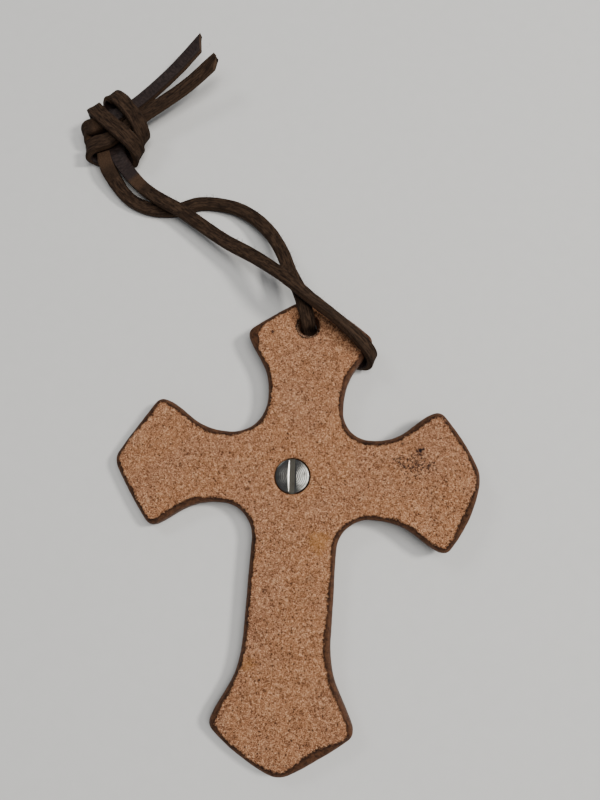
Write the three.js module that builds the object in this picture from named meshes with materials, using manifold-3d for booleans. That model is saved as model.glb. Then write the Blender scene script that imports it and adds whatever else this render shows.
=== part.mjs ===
// A leather cross lying on its grain face, with the two-part screw through its middle and the
// knotted leather lace that it hangs by. Millimetres, +Z up, +Y towards the cross's top. The
// origin is on the surface that it lies on, under the middle of the cross.
import * as THREE from 'three';
import { mergeVertices } from 'three/addons/utils/BufferGeometryUtils.js';
import Module from 'manifold-3d';

const wasm = await Module();
wasm.setup();

// The leather, measured from the point where the middles of the arms cross
const LEATHER_THICKNESS = 4.6;
const EDGE_ROUND = 1.3;
const EDGE_STEPS = 3;
const CORNER_ROUND = 2.4;
const TIP_ROUND = 3.0;
// Each arm's point, and its two corners: along and out from the arm's middle line, where the flare to
// the corner starts, how steeply it ends and how far the edge from there to the point bows out
const RIGHT_ARM = {
  turn: 0,
  tip: [48.9, 2.6],
  before: { along: 40.3, out: 19.4, flareFrom: 20.7, slope: 0.42, bow: 1.4 },
  after: { along: 37.5, out: 19.4, flareFrom: 18.9, slope: 0.5, bow: 0.6 },
};
const TOP_ARM = {
  turn: 90,
  tip: [50.8, 1.3],
  before: { along: 38.8, out: 18.5, flareFrom: 19.4, slope: 0.45, bow: 0.7 },
  after: { along: 39.6, out: 18.4, flareFrom: 20.1, slope: 0.42, bow: 0.3 },
};
const LEFT_ARM = {
  turn: 180,
  tip: [53.4, -0.2],
  before: { along: 41.9, out: 18.7, flareFrom: 20.7, slope: 0.34, bow: 0.1 },
  after: { along: 40.5, out: 18.0, flareFrom: 21.1, slope: 0.55, bow: 0.35 },
};
const LOWER_ARM = {
  turn: 270,
  tip: [77.6, 0.4],
  before: { along: 66.4, out: 19.2, flareFrom: 43.4, slope: 0.4, bow: 0.9 },
  after: { along: 65.5, out: 19.0, flareFrom: 42.2, slope: 0.4, bow: 0.4 },
};
// Each notch's distance from the middle of the arm before it and of the arm after it, and its rounding
const UPPER_RIGHT = { before: 9.9, after: 10.8, round: 7.9 };
const UPPER_LEFT = { before: 10.6, after: 10.0, round: 10.0 };
const LOWER_LEFT = { before: 9.9, after: 11.8, round: 9.1 };
const LOWER_RIGHT = { before: 11.3, after: 11.7, round: 8.8 };
// How far a flare's two handles reach along it, and a quarter round's handle
const FLARE_START = 0.5;
const FLARE_END = 0.3;
const QUARTER_ROUND = 0.5523;
const CURVE_STEPS = 6;

// The surface is touched by the left and lower arms only: the lace under the top arm lifts the rest
const LEAN = THREE.MathUtils.degToRad(2.26);
const LEAN_TOWARDS = THREE.MathUtils.degToRad(28.3);

// The two-part screw, which sits a little off the crossing
const SCREW_X = -2.0;
const SCREW_Y = -1.4;
const HEAD_DIAMETER = 9.5;
const HEAD_THICKNESS = 1.4;
const HEAD_EASE = 0.25;
const HEAD_SUNK = 0.1;
const SHANK_DIAMETER = 3.4;
const SHANK_END = 1.6;
const SLOT_WIDTH = 1.6;
const SLOT_DEPTH = 0.9;
const SLOT_TURN = THREE.MathUtils.degToRad(3);
const POST_WALL = 0.6;
const POST_HEAD_THICKNESS = 1.1;
const POST_HEAD_SUNK = 0.25;
const SCREW_SIDES = 40;
// Free room between pieces that touch in the real thing
const GAP = 0.3;

// The lace and its hole in the top arm
const LACE_WIDTH = 4.0;
const LACE_THICKNESS = 2.2;
const LACE_EASE = 0.45;
const LACE_HOLE_DIAMETER = 6.4;
const LACE_HOLE_X = -0.7;
const LACE_HOLE_Y = 41.7;
const HOLE_EASE = 0.6;
const HOLE_SIDES = 32;
const STEPS_PER_POINT = 2;
// Points along the middle of the lace, from one cut end to the other: x and y from the screw's
// middle, height over the surface, and the direction that the lace's width lies in
const LACE_ROUTE = [
  // One tail, down into the knot and round under it
  [-33.7, 129.4, 10, -0.7, 0.7, 0],
  [-43.6, 120.7, 7.5, -0.7, 0.7, 0],
  [-55.5, 111.5, 6.2, -0.7, 0.7, 0],
  [-62.2, 105.4, 6.2, -0.7, 0.7, 0],
  [-66.6, 101.3, 6.2, -0.6, 0.8, 0],
  [-70.4, 99.8, 6.2, -0.4, 0.9, 0],
  [-72.4, 98.9, 5.5, -0.2, 1, 0],
  [-73.2, 98.5, 3.75, -0.1, 1, 0],
  [-72.4, 98.2, 2.0, 0, 1, 0],
  [-70.6, 98, 1.3, 0, 1, 0],
  [-66.0, 97.9, 1.3, 0, 1, 0],
  [-60.7, 97.9, 1.3, 0, 1, 0],
  // Up over the knot and down into the first strand
  [-58.3, 97.9, 2.3, 0.2, 0.97, 0],
  [-57.1, 98.5, 4.9, 0.45, 0.9, 0],
  [-58.3, 99.9, 7.6, 0.6, 0.8, 0],
  [-61, 102.1, 8.7, 0.7, 0.7, 0],
  [-64.9, 105.1, 8.7, 0.7, 0.7, 0],
  [-70.0, 109.4, 8.7, 0.75, 0.65, 0],
  [-71.6, 111.0, 8.0, 0.8, 0.6, 0],
  [-72.3, 111.5, 6.2, 0.85, 0.52, 0],
  [-72.1, 110.7, 4.4, 0.9, 0.4, 0],
  [-71.5, 108.9, 3.7, 0.95, 0.3, 0],
  [-70.0, 104.2, 3.7, 0.95, 0.3, 0],
  [-68.3, 98.6, 3.7, 0.95, 0.3, 0],
  [-66.8, 94.1, 3.7, 0.9, 0.4, 0],
  // The first strand, under the second one twice, to the hole
  [-63.8, 89.3, 2.8, 0.8, 0.6, 0],
  [-58.6, 83.8, 1.8, 0.5, 0.85, 0],
  [-51.2, 80.9, 1.3, 0.1, 1, 0],
  [-42.9, 81.1, 1.25, 0, 1, 0],
  [-36.4, 83.5, 1.25, -0.15, 1, 0],
  [-29.1, 83.3, 1.5, 0.2, 1, 0],
  [-23.1, 81.5, 2.2, 0.4, 0.9, 0],
  [-17.3, 77.8, 3.2, 0.55, 0.8, 0],
  [-12.1, 72.4, 4.4, 0.75, 0.65, 0],
  [-8.0, 65.7, 5.8, 0.9, 0.4, 0],
  [-5.3, 59.4, 7.2, 0.95, 0.3, 0],
  [-2.5, 54.3, 8.3, 0.95, 0.25, 0],
  [-0.5, 49.5, 8.9, 0.95, 0.2, 0],
  [0.7, 45.9, 8.9, 0.97, 0.25, 0],
  [1.25, 43.9, 7.6, 0.95, 0.3, 0],
  // Down through the hole, along under the leather and round the top arm's edge
  [1.3, 43.2, 5.4, 0.9, 0.4, 0],
  [1.5, 42.8, 3.2, 0.75, 0.65, 0],
  [2.4, 42.0, 1.65, 0.6, 0.8, 0],
  [4.6, 40.6, 1.2, 0.5, 0.87, 0],
  [10.0, 37.6, 1.2, 0.45, 0.9, 0],
  [15.6, 35.2, 1.25, 0.35, 0.93, 0],
  [18.6, 34.5, 2.3, 0.3, 0.95, 0],
  [20.0, 34.9, 5.1, 0.35, 0.93, 0],
  [19.0, 36.4, 8.4, 0.5, 0.85, -0.1],
  [16.0, 39.1, 10.3, 0.55, 0.75, -0.35],
  // The second strand, over the first one twice, to the knot
  [12.3, 42.2, 10.9, 0.5, 0.65, -0.55],
  [7.4, 45.9, 11.3, 0.45, 0.62, -0.6],
  [1.4, 50.0, 11.9, 0.5, 0.65, -0.5],
  [-3.3, 53.6, 12.1, 0.6, 0.75, -0.25],
  [-9.4, 58.4, 10.6, 0.6, 0.8, 0],
  [-17.0, 63.9, 7.6, 0.6, 0.8, 0],
  [-26.1, 69.3, 5.3, 0.6, 0.8, 0],
  [-35.7, 75.8, 4.1, 0.6, 0.8, 0],
  [-41.8, 79.8, 3.75, 0.6, 0.8, 0],
  [-48.1, 82.9, 3.75, 0.6, 0.8, 0],
  [-54.4, 87, 3.7, 0.65, 0.75, 0],
  [-60.6, 93.3, 3.7, 0.8, 0.6, 0],
  [-63.9, 98.3, 3.7, 0.92, 0.4, 0],
  [-65.7, 104.6, 3.7, 0.95, 0.3, 0],
  [-67.1, 110.5, 3.7, 0.92, 0.4, 0],
  // Up over both tails, down, back under the knot and out as the other tail
  [-68, 113.7, 5.0, 0.8, 0.6, 0],
  [-66.8, 115.8, 7.6, 0.75, 0.66, 0],
  [-64, 114.5, 8.8, 0.7, 0.7, 0],
  [-60.6, 111.1, 8.8, 0.7, 0.7, 0],
  [-57.5, 107.4, 8.7, 0.8, 0.55, 0],
  [-55.9, 104.4, 7.3, 0.7, 0.7, 0],
  [-56.0, 103, 4.6, 0.4, 0.9, 0],
  [-58.0, 102.6, 2.2, 0.1, 1, 0],
  [-60.6, 102.5, 1.3, 0, 1, 0],
  [-66.0, 102.7, 1.3, 0, 1, 0],
  [-72.4, 103.4, 1.3, -0.1, 1, 0],
  [-74.4, 103.9, 2.0, -0.2, 0.97, 0],
  [-75.2, 104.7, 3.75, -0.4, 0.9, 0],
  [-74.4, 105.6, 5.5, -0.5, 0.85, 0],
  [-72.4, 106.1, 6.2, -0.55, 0.8, 0],
  [-68.4, 107.9, 6.2, -0.6, 0.8, 0],
  [-64.0, 110.9, 6.2, -0.65, 0.75, 0],
  [-59, 114.9, 6.2, -0.7, 0.7, 0],
  [-48.1, 126.1, 7.6, -0.7, 0.7, 0],
  [-39, 137.9, 9, -0.75, 0.65, 0],
];

const LEATHER = new THREE.MeshStandardMaterial({ color: 0xaa7d5f, roughness: 0.9, metalness: 0 });
const STEEL = new THREE.MeshStandardMaterial({ color: 0xb8b6b0, roughness: 0.3, metalness: 1 });
const LACE_LEATHER = new THREE.MeshStandardMaterial({ color: 0x3a2a21, roughness: 0.7, metalness: 0 });

// A body for joins and cuts, from a closed geometry
function bodyOf(geometry) {
  const bare = new THREE.BufferGeometry();
  bare.setAttribute('position', geometry.getAttribute('position'));
  bare.setIndex(geometry.getIndex());
  const merged = mergeVertices(bare, 1e-4);
  return new wasm.Manifold(new wasm.Mesh({
    numProp: 3,
    vertProperties: new Float32Array(merged.getAttribute('position').array),
    triVerts: new Uint32Array(merged.getIndex().array),
  }));
}

// A named mesh from a body
function meshOf(name, body, material) {
  const cut = body.getMesh();
  const geometry = new THREE.BufferGeometry();
  geometry.setAttribute('position', new THREE.BufferAttribute(new Float32Array(cut.vertProperties), 3));
  geometry.setIndex(new THREE.BufferAttribute(new Uint32Array(cut.triVerts), 1));
  geometry.computeVertexNormals();
  const mesh = new THREE.Mesh(geometry, material);
  mesh.name = name;
  return mesh;
}

// A turned body about the vertical line through (x, y), from its [radius, height] points
function turned(profile, x, y, sides) {
  const points = profile.map(([radius, height]) => new THREE.Vector2(radius, height));
  const geometry = new THREE.LatheGeometry(points, sides);
  geometry.rotateX(Math.PI / 2);
  geometry.translate(x, y, 0);
  return bodyOf(geometry);
}

// Turns a point given along and across an arm to the cross's own directions
function onArm(arm, along, across) {
  const turn = THREE.MathUtils.degToRad(arm.turn);
  return new THREE.Vector2(along, across).rotateAround(new THREE.Vector2(), turn);
}

// The point on the way from one point to another, this far on
function towards(from, to, distance) {
  return from.clone().lerp(to, distance / from.distanceTo(to));
}

// A point on an arm's flare, this far short of its corner, on the flare's end slope
function onFlare(arm, corner, side, short) {
  return onArm(arm, corner.along - short, side * (corner.out - short * corner.slope));
}

// The parts of one side of an arm's outline, as points to draw between
function armSide(arm, corner, side, wall) {
  const root = onArm(arm, corner.flareFrom, side * wall);
  const flare = corner.along - corner.flareFrom;
  const short = CORNER_ROUND / Math.hypot(1, corner.slope);
  const sharp = onArm(arm, corner.along, side * corner.out);
  const tip = onArm(arm, ...arm.tip);
  const square = side * Math.PI / 2;
  const outwards = tip.clone().sub(sharp).rotateAround(new THREE.Vector2(), square).normalize();
  const bowed = sharp.clone().add(tip).divideScalar(2);
  bowed.addScaledVector(outwards, 2 * corner.bow);
  return {
    root,
    rootHandle: onArm(arm, corner.flareFrom + flare * FLARE_START, side * wall),
    lastHandle: onFlare(arm, corner, side, short + flare * FLARE_END),
    last: onFlare(arm, corner, side, short),
    sharp,
    edgeStart: towards(sharp, bowed, CORNER_ROUND),
    bowed,
    edgeEnd: towards(tip, bowed, TIP_ROUND),
    tip,
  };
}

// The arm's outline from the notch before it to the notch after it
function drawArm(shape, arm, wallBefore, wallAfter) {
  const out = armSide(arm, arm.before, -1, wallBefore);
  shape.lineTo(out.root.x, out.root.y);
  shape.bezierCurveTo(
    out.rootHandle.x, out.rootHandle.y, out.lastHandle.x, out.lastHandle.y, out.last.x, out.last.y,
  );
  shape.quadraticCurveTo(out.sharp.x, out.sharp.y, out.edgeStart.x, out.edgeStart.y);
  shape.quadraticCurveTo(out.bowed.x, out.bowed.y, out.edgeEnd.x, out.edgeEnd.y);
  const back = armSide(arm, arm.after, 1, wallAfter);
  shape.quadraticCurveTo(out.tip.x, out.tip.y, back.edgeEnd.x, back.edgeEnd.y);
  shape.quadraticCurveTo(back.bowed.x, back.bowed.y, back.edgeStart.x, back.edgeStart.y);
  shape.quadraticCurveTo(back.sharp.x, back.sharp.y, back.last.x, back.last.y);
  shape.bezierCurveTo(
    back.lastHandle.x, back.lastHandle.y, back.rootHandle.x, back.rootHandle.y, back.root.x, back.root.y,
  );
}

// The rounded notch between an arm and the next one
function drawNotch(shape, arm, nextArm, notch) {
  const start = onArm(arm, notch.after + notch.round, notch.before);
  const meeting = onArm(arm, notch.after, notch.before);
  const end = onArm(nextArm, notch.before + notch.round, -notch.after);
  const startHandle = start.clone().lerp(meeting, QUARTER_ROUND);
  const endHandle = end.clone().lerp(meeting, QUARTER_ROUND);
  shape.lineTo(start.x, start.y);
  shape.bezierCurveTo(startHandle.x, startHandle.y, endHandle.x, endHandle.y, end.x, end.y);
}

// The cross's outline, counter-clockwise from the notch below the right arm
function crossOutline() {
  const arms = [RIGHT_ARM, TOP_ARM, LEFT_ARM, LOWER_ARM];
  const notches = [UPPER_RIGHT, UPPER_LEFT, LOWER_LEFT, LOWER_RIGHT];
  const shape = new THREE.Shape();
  const first = onArm(RIGHT_ARM, LOWER_RIGHT.before + LOWER_RIGHT.round, -LOWER_RIGHT.after);
  shape.moveTo(first.x, first.y);
  arms.forEach((arm, index) => {
    const before = notches[(index + notches.length - 1) % notches.length];
    const after = notches[index];
    drawArm(shape, arm, before.after, after.before);
    drawNotch(shape, arm, arms[(index + 1) % arms.length], after);
  });
  return shape;
}

// The hole through the leather for the lace, with its two rims eased
function laceHole() {
  const radius = LACE_HOLE_DIAMETER / 2;
  const out = radius + HOLE_EASE;
  return turned([
    [0, -GAP],
    [out, -GAP],
    [out, 0],
    [radius, HOLE_EASE],
    [radius, LEATHER_THICKNESS - HOLE_EASE],
    [out, LEATHER_THICKNESS],
    [out, LEATHER_THICKNESS + GAP],
    [0, LEATHER_THICKNESS + GAP],
  ], LACE_HOLE_X, LACE_HOLE_Y, HOLE_SIDES);
}

// Heights in the leather that the screw and its hole share
const HEAD_TOP = LEATHER_THICKNESS - HEAD_SUNK;
const HEAD_UNDERSIDE = HEAD_TOP - HEAD_THICKNESS;
const RECESS_FLOOR = HEAD_UNDERSIDE - GAP;
const POST_HEAD_TOP = POST_HEAD_SUNK + POST_HEAD_THICKNESS;
const FRONT_RECESS_TOP = POST_HEAD_TOP + GAP;
const POST_BORE = SHANK_DIAMETER / 2 + GAP;
const POST_RADIUS = POST_BORE + POST_WALL;
const SCREW_HOLE_RADIUS = POST_RADIUS + GAP;
const RECESS_RADIUS = HEAD_DIAMETER / 2 + GAP;

// The hole through the leather for the screw, with a pressed-in seat for each head
function screwHole() {
  return turned([
    [0, -GAP],
    [RECESS_RADIUS, -GAP],
    [RECESS_RADIUS, FRONT_RECESS_TOP],
    [SCREW_HOLE_RADIUS, FRONT_RECESS_TOP],
    [SCREW_HOLE_RADIUS, RECESS_FLOOR],
    [RECESS_RADIUS, RECESS_FLOOR],
    [RECESS_RADIUS, LEATHER_THICKNESS + GAP],
    [0, LEATHER_THICKNESS + GAP],
  ], SCREW_X, SCREW_Y, SCREW_SIDES);
}

function leatherCross() {
  const geometry = new THREE.ExtrudeGeometry(crossOutline(), {
    depth: LEATHER_THICKNESS - 2 * EDGE_ROUND,
    curveSegments: CURVE_STEPS,
    bevelEnabled: true,
    bevelSize: EDGE_ROUND,
    bevelThickness: EDGE_ROUND,
    bevelOffset: -EDGE_ROUND,
    bevelSegments: EDGE_STEPS,
  });
  geometry.translate(0, 0, EDGE_ROUND);
  const body = bodyOf(geometry).subtract(laceHole()).subtract(screwHole());
  return meshOf('leather_cross', body, LEATHER);
}

// The screw: a slotted head with its shank
function screw() {
  const headRadius = HEAD_DIAMETER / 2;
  const body = turned([
    [0, SHANK_END],
    [SHANK_DIAMETER / 2, SHANK_END],
    [SHANK_DIAMETER / 2, HEAD_UNDERSIDE],
    [headRadius, HEAD_UNDERSIDE],
    [headRadius, HEAD_TOP - HEAD_EASE],
    [headRadius - HEAD_EASE, HEAD_TOP],
    [0, HEAD_TOP],
  ], SCREW_X, SCREW_Y, SCREW_SIDES);
  const slot = new THREE.BoxGeometry(SLOT_WIDTH, HEAD_DIAMETER * 2, SLOT_DEPTH * 2);
  slot.rotateZ(SLOT_TURN);
  slot.translate(SCREW_X, SCREW_Y, HEAD_TOP);
  return meshOf('screw', body.subtract(bodyOf(slot)), STEEL);
}

// The post: a headed tube that takes the shank
function screwPost() {
  const headRadius = HEAD_DIAMETER / 2;
  const body = turned([
    [0, POST_HEAD_SUNK],
    [headRadius - HEAD_EASE, POST_HEAD_SUNK],
    [headRadius, POST_HEAD_SUNK + HEAD_EASE],
    [headRadius, POST_HEAD_TOP],
    [POST_RADIUS, POST_HEAD_TOP],
    [POST_RADIUS, RECESS_FLOOR],
    [POST_BORE, RECESS_FLOOR],
    [POST_BORE, SHANK_END - GAP],
    [0, SHANK_END - GAP],
  ], SCREW_X, SCREW_Y, SCREW_SIDES);
  return meshOf('screw_post', body, STEEL);
}

// A line through the lace's points that also carries the lace's width direction
class LaceRoute extends THREE.CatmullRomCurve3 {
  constructor(rows) {
    super(rows.map(([x, y, z]) => new THREE.Vector3(x, y, z)), false, 'centripetal');
    this.widths = rows.map((row) => new THREE.Vector3(row[3], row[4], row[5]));
  }

  getSpacedPoints(divisions) {
    return this.getPoints(divisions);
  }

  // The width direction at a share of the way, square to the line there
  widthAt(share, tangent) {
    const place = share * (this.widths.length - 1);
    const before = Math.min(Math.floor(place), this.widths.length - 2);
    const width = this.widths[before].clone().lerp(this.widths[before + 1], place - before);
    return width.addScaledVector(tangent, -width.dot(tangent)).normalize();
  }

  computeFrenetFrames(segments) {
    const frames = { tangents: [], normals: [], binormals: [] };
    for (let step = 0; step <= segments; step += 1) {
      const tangent = this.getTangent(step / segments);
      const width = this.widthAt(step / segments, tangent);
      frames.tangents.push(tangent);
      frames.normals.push(width);
      frames.binormals.push(new THREE.Vector3().crossVectors(tangent, width));
    }
    return frames;
  }
}

// The lace: its cut section, with eased corners, along its route
function lace() {
  const halfWidth = LACE_WIDTH / 2;
  const halfThick = LACE_THICKNESS / 2;
  const section = new THREE.Shape([
    [halfWidth, -halfThick + LACE_EASE],
    [halfWidth, halfThick - LACE_EASE],
    [halfWidth - LACE_EASE, halfThick],
    [-halfWidth + LACE_EASE, halfThick],
    [-halfWidth, halfThick - LACE_EASE],
    [-halfWidth, -halfThick + LACE_EASE],
    [-halfWidth + LACE_EASE, -halfThick],
    [halfWidth - LACE_EASE, -halfThick],
  ].map(([x, y]) => new THREE.Vector2(x, y)));
  const geometry = new THREE.ExtrudeGeometry(section, {
    steps: (LACE_ROUTE.length - 1) * STEPS_PER_POINT,
    bevelEnabled: false,
    extrudePath: new LaceRoute(LACE_ROUTE),
  });
  return meshOf('lace', bodyOf(geometry), LACE_LEATHER);
}

// The leather and its screw, leaning as they lie
const plate = new THREE.Group();
plate.add(leatherCross(), screw(), screwPost());
const leanAxis = new THREE.Vector3(Math.sin(LEAN_TOWARDS), -Math.cos(LEAN_TOWARDS), 0);
plate.quaternion.setFromAxisAngle(leanAxis, LEAN);
plate.updateMatrixWorld(true);
const leaning = new THREE.Box3().setFromObject(plate, true);
const middle = leaning.getCenter(new THREE.Vector3());
plate.position.set(-middle.x, -middle.y, -leaning.min.z);
plate.updateMatrixWorld(true);

// The lace lies on the surface, placed from the screw's middle
const strung = new THREE.Group();
strung.add(lace());
const screwPlace = plate.localToWorld(new THREE.Vector3(SCREW_X, SCREW_Y, LEATHER_THICKNESS));
strung.position.set(screwPlace.x, screwPlace.y, 0);

const group = new THREE.Group();
group.add(plate, strung);

export default group;
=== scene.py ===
"""Looks of a leather cross with a two-part screw and a knotted lace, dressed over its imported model.

Sizes are in millimetres until a mesh is made. The plate's own frame has its origin where the middles
of the arms cross, on the underside, with +Y to the top arm and +Z out of the suede back.
"""

import logging
import math
from dataclasses import dataclass
from enum import Enum
from typing import Sequence

import bpy
import numpy as np
from mathutils import Matrix, Vector, noise
from mathutils.geometry import delaunay_2d_cdt

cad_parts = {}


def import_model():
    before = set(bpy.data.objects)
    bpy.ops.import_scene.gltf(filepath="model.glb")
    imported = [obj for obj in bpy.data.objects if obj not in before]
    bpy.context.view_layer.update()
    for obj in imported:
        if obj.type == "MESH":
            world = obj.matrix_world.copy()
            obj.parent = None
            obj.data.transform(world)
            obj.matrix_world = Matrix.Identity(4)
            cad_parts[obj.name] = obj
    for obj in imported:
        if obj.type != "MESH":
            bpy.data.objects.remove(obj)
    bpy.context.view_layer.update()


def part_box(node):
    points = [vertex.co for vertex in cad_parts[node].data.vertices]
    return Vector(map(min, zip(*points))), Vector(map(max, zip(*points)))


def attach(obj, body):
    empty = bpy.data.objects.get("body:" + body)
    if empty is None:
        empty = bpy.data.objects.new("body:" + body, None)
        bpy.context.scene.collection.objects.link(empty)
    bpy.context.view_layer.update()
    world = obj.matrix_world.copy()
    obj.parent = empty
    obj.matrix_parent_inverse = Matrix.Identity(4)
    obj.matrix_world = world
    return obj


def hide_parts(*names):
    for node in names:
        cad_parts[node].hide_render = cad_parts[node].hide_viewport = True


LOG = logging.getLogger("leather_cross")
MM = 0.001
PER_METRE = 1000.0
BODY = "root"

# Sizes of the hide that several classes share
LEATHER_THICKNESS = 4.6
EDGE_ROUND = 1.3

Triple = tuple[float, float, float]
Facet = tuple[int, ...]
Socket = bpy.types.NodeSocket


class Face(Enum):
    """Which way a stretch of leather looks, as kept on each point of its mesh."""

    SUEDE = 1.0
    CUT = 0.0
    GRAIN = -1.0


# The lace's points: x, y from the screw's middle, the height, and the width direction there
LACE_ROUTE = (
    # One tail, down into the knot and round under it
    (-33.7, 129.4, 10, -0.7, 0.7, 0),
    (-43.6, 120.7, 7.5, -0.7, 0.7, 0),
    (-55.5, 111.5, 6.2, -0.7, 0.7, 0),
    (-62.2, 105.4, 6.2, -0.7, 0.7, 0),
    (-66.6, 101.3, 6.2, -0.6, 0.8, 0),
    (-70.4, 99.8, 6.2, -0.4, 0.9, 0),
    (-72.4, 98.9, 5.5, -0.2, 1, 0),
    (-73.2, 98.5, 3.75, -0.1, 1, 0),
    (-72.4, 98.2, 2.0, 0, 1, 0),
    (-70.6, 98, 1.3, 0, 1, 0),
    (-66.0, 97.9, 1.3, 0, 1, 0),
    (-60.7, 97.9, 1.3, 0, 1, 0),
    # Up over the knot and down into the first strand
    (-58.3, 97.9, 2.3, 0.2, 0.97, 0),
    (-57.1, 98.5, 4.9, 0.45, 0.9, 0),
    (-58.3, 99.9, 7.6, 0.6, 0.8, 0),
    (-61, 102.1, 8.7, 0.7, 0.7, 0),
    (-64.9, 105.1, 8.7, 0.7, 0.7, 0),
    (-70.0, 109.4, 8.7, 0.75, 0.65, 0),
    (-71.6, 111.0, 8.0, 0.8, 0.6, 0),
    (-72.3, 111.5, 6.2, 0.85, 0.52, 0),
    (-72.1, 110.7, 4.4, 0.9, 0.4, 0),
    (-71.5, 108.9, 3.7, 0.95, 0.3, 0),
    (-70.0, 104.2, 3.7, 0.95, 0.3, 0),
    (-68.3, 98.6, 3.7, 0.95, 0.3, 0),
    (-66.8, 94.1, 3.7, 0.9, 0.4, 0),
    # The first strand, under the second one twice, to the hole
    (-63.8, 89.3, 2.8, 0.8, 0.6, 0),
    (-58.6, 83.8, 1.8, 0.5, 0.85, 0),
    (-51.2, 80.9, 1.3, 0.1, 1, 0),
    (-42.9, 81.1, 1.25, 0, 1, 0),
    (-36.4, 83.5, 1.25, -0.15, 1, 0),
    (-29.1, 83.3, 1.5, 0.2, 1, 0),
    (-23.1, 81.5, 2.2, 0.4, 0.9, 0),
    (-17.3, 77.8, 3.2, 0.55, 0.8, 0),
    (-12.1, 72.4, 4.4, 0.75, 0.65, 0),
    (-8.0, 65.7, 5.8, 0.9, 0.4, 0),
    (-5.3, 59.4, 7.2, 0.95, 0.3, 0),
    (-2.5, 54.3, 8.3, 0.95, 0.25, 0),
    (-0.5, 49.5, 8.9, 0.95, 0.2, 0),
    (0.7, 45.9, 8.9, 0.97, 0.25, 0),
    (1.25, 43.9, 7.6, 0.95, 0.3, 0),
    # Down through the hole, along under the leather and round the top arm's edge
    (1.3, 43.2, 5.4, 0.9, 0.4, 0),
    (1.5, 42.8, 3.2, 0.75, 0.65, 0),
    (2.4, 42.0, 1.65, 0.6, 0.8, 0),
    (4.6, 40.6, 1.2, 0.5, 0.87, 0),
    (10.0, 37.6, 1.2, 0.45, 0.9, 0),
    (15.6, 35.2, 1.25, 0.35, 0.93, 0),
    (18.6, 34.5, 2.3, 0.3, 0.95, 0),
    (20.0, 34.9, 5.1, 0.35, 0.93, 0),
    (19.0, 36.4, 8.4, 0.5, 0.85, -0.1),
    (16.0, 39.1, 10.3, 0.55, 0.75, -0.35),
    # The second strand, over the first one twice, to the knot
    (12.3, 42.2, 10.9, 0.5, 0.65, -0.55),
    (7.4, 45.9, 11.3, 0.45, 0.62, -0.6),
    (1.4, 50.0, 11.9, 0.5, 0.65, -0.5),
    (-3.3, 53.6, 12.1, 0.6, 0.75, -0.25),
    (-9.4, 58.4, 10.6, 0.6, 0.8, 0),
    (-17.0, 63.9, 7.6, 0.6, 0.8, 0),
    (-26.1, 69.3, 5.3, 0.6, 0.8, 0),
    (-35.7, 75.8, 4.1, 0.6, 0.8, 0),
    (-41.8, 79.8, 3.75, 0.6, 0.8, 0),
    (-48.1, 82.9, 3.75, 0.6, 0.8, 0),
    (-54.4, 87, 3.7, 0.65, 0.75, 0),
    (-60.6, 93.3, 3.7, 0.8, 0.6, 0),
    (-63.9, 98.3, 3.7, 0.92, 0.4, 0),
    (-65.7, 104.6, 3.7, 0.95, 0.3, 0),
    (-67.1, 110.5, 3.7, 0.92, 0.4, 0),
    # Up over both tails, down, back under the knot and out as the other tail
    (-68, 113.7, 5.0, 0.8, 0.6, 0),
    (-66.8, 115.8, 7.6, 0.75, 0.66, 0),
    (-64, 114.5, 8.8, 0.7, 0.7, 0),
    (-60.6, 111.1, 8.8, 0.7, 0.7, 0),
    (-57.5, 107.4, 8.7, 0.8, 0.55, 0),
    (-55.9, 104.4, 7.3, 0.7, 0.7, 0),
    (-56.0, 103, 4.6, 0.4, 0.9, 0),
    (-58.0, 102.6, 2.2, 0.1, 1, 0),
    (-60.6, 102.5, 1.3, 0, 1, 0),
    (-66.0, 102.7, 1.3, 0, 1, 0),
    (-72.4, 103.4, 1.3, -0.1, 1, 0),
    (-74.4, 103.9, 2.0, -0.2, 0.97, 0),
    (-75.2, 104.7, 3.75, -0.4, 0.9, 0),
    (-74.4, 105.6, 5.5, -0.5, 0.85, 0),
    (-72.4, 106.1, 6.2, -0.55, 0.8, 0),
    (-68.4, 107.9, 6.2, -0.6, 0.8, 0),
    (-64.0, 110.9, 6.2, -0.65, 0.75, 0),
    (-59, 114.9, 6.2, -0.7, 0.7, 0),
    (-48.1, 126.1, 7.6, -0.7, 0.7, 0),
    (-39, 137.9, 9, -0.75, 0.65, 0),
)


def normalised(rows: np.ndarray) -> np.ndarray:
    """Rows of unit length."""
    return rows / np.maximum(np.linalg.norm(rows, axis=1), 1e-9)[:, None]


def wobble(points: np.ndarray, size: float, seed: float) -> np.ndarray:
    """Smooth noise from -1 to 1 at each point.

    Args:
        points: rows of two or three coordinates, in millimetres.
        size: the noise's coarseness in millimetres.
        seed: moves the noise, so that two of them differ.

    Returns:
        One number for each row.
    """
    flat = np.zeros((len(points), 3))
    flat[:, : points.shape[1]] = points
    flat = flat / size + seed
    return np.array([noise.noise(Vector(row)) for row in flat])


@dataclass(frozen=True)
class Ripple:
    """One layer of unevenness: its coarseness, the seed of its noise and its height."""

    size: float
    seed: float
    height: float

    def at(self, points: np.ndarray) -> np.ndarray:
        """Its height at each point."""
        return wobble(points, self.size, self.seed) * self.height


def eased(value: np.ndarray) -> np.ndarray:
    """A smooth step from 0 to 1 over the same range."""
    part = np.clip(value, 0.0, 1.0)
    return part * part * (3.0 - 2.0 * part)


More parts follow.
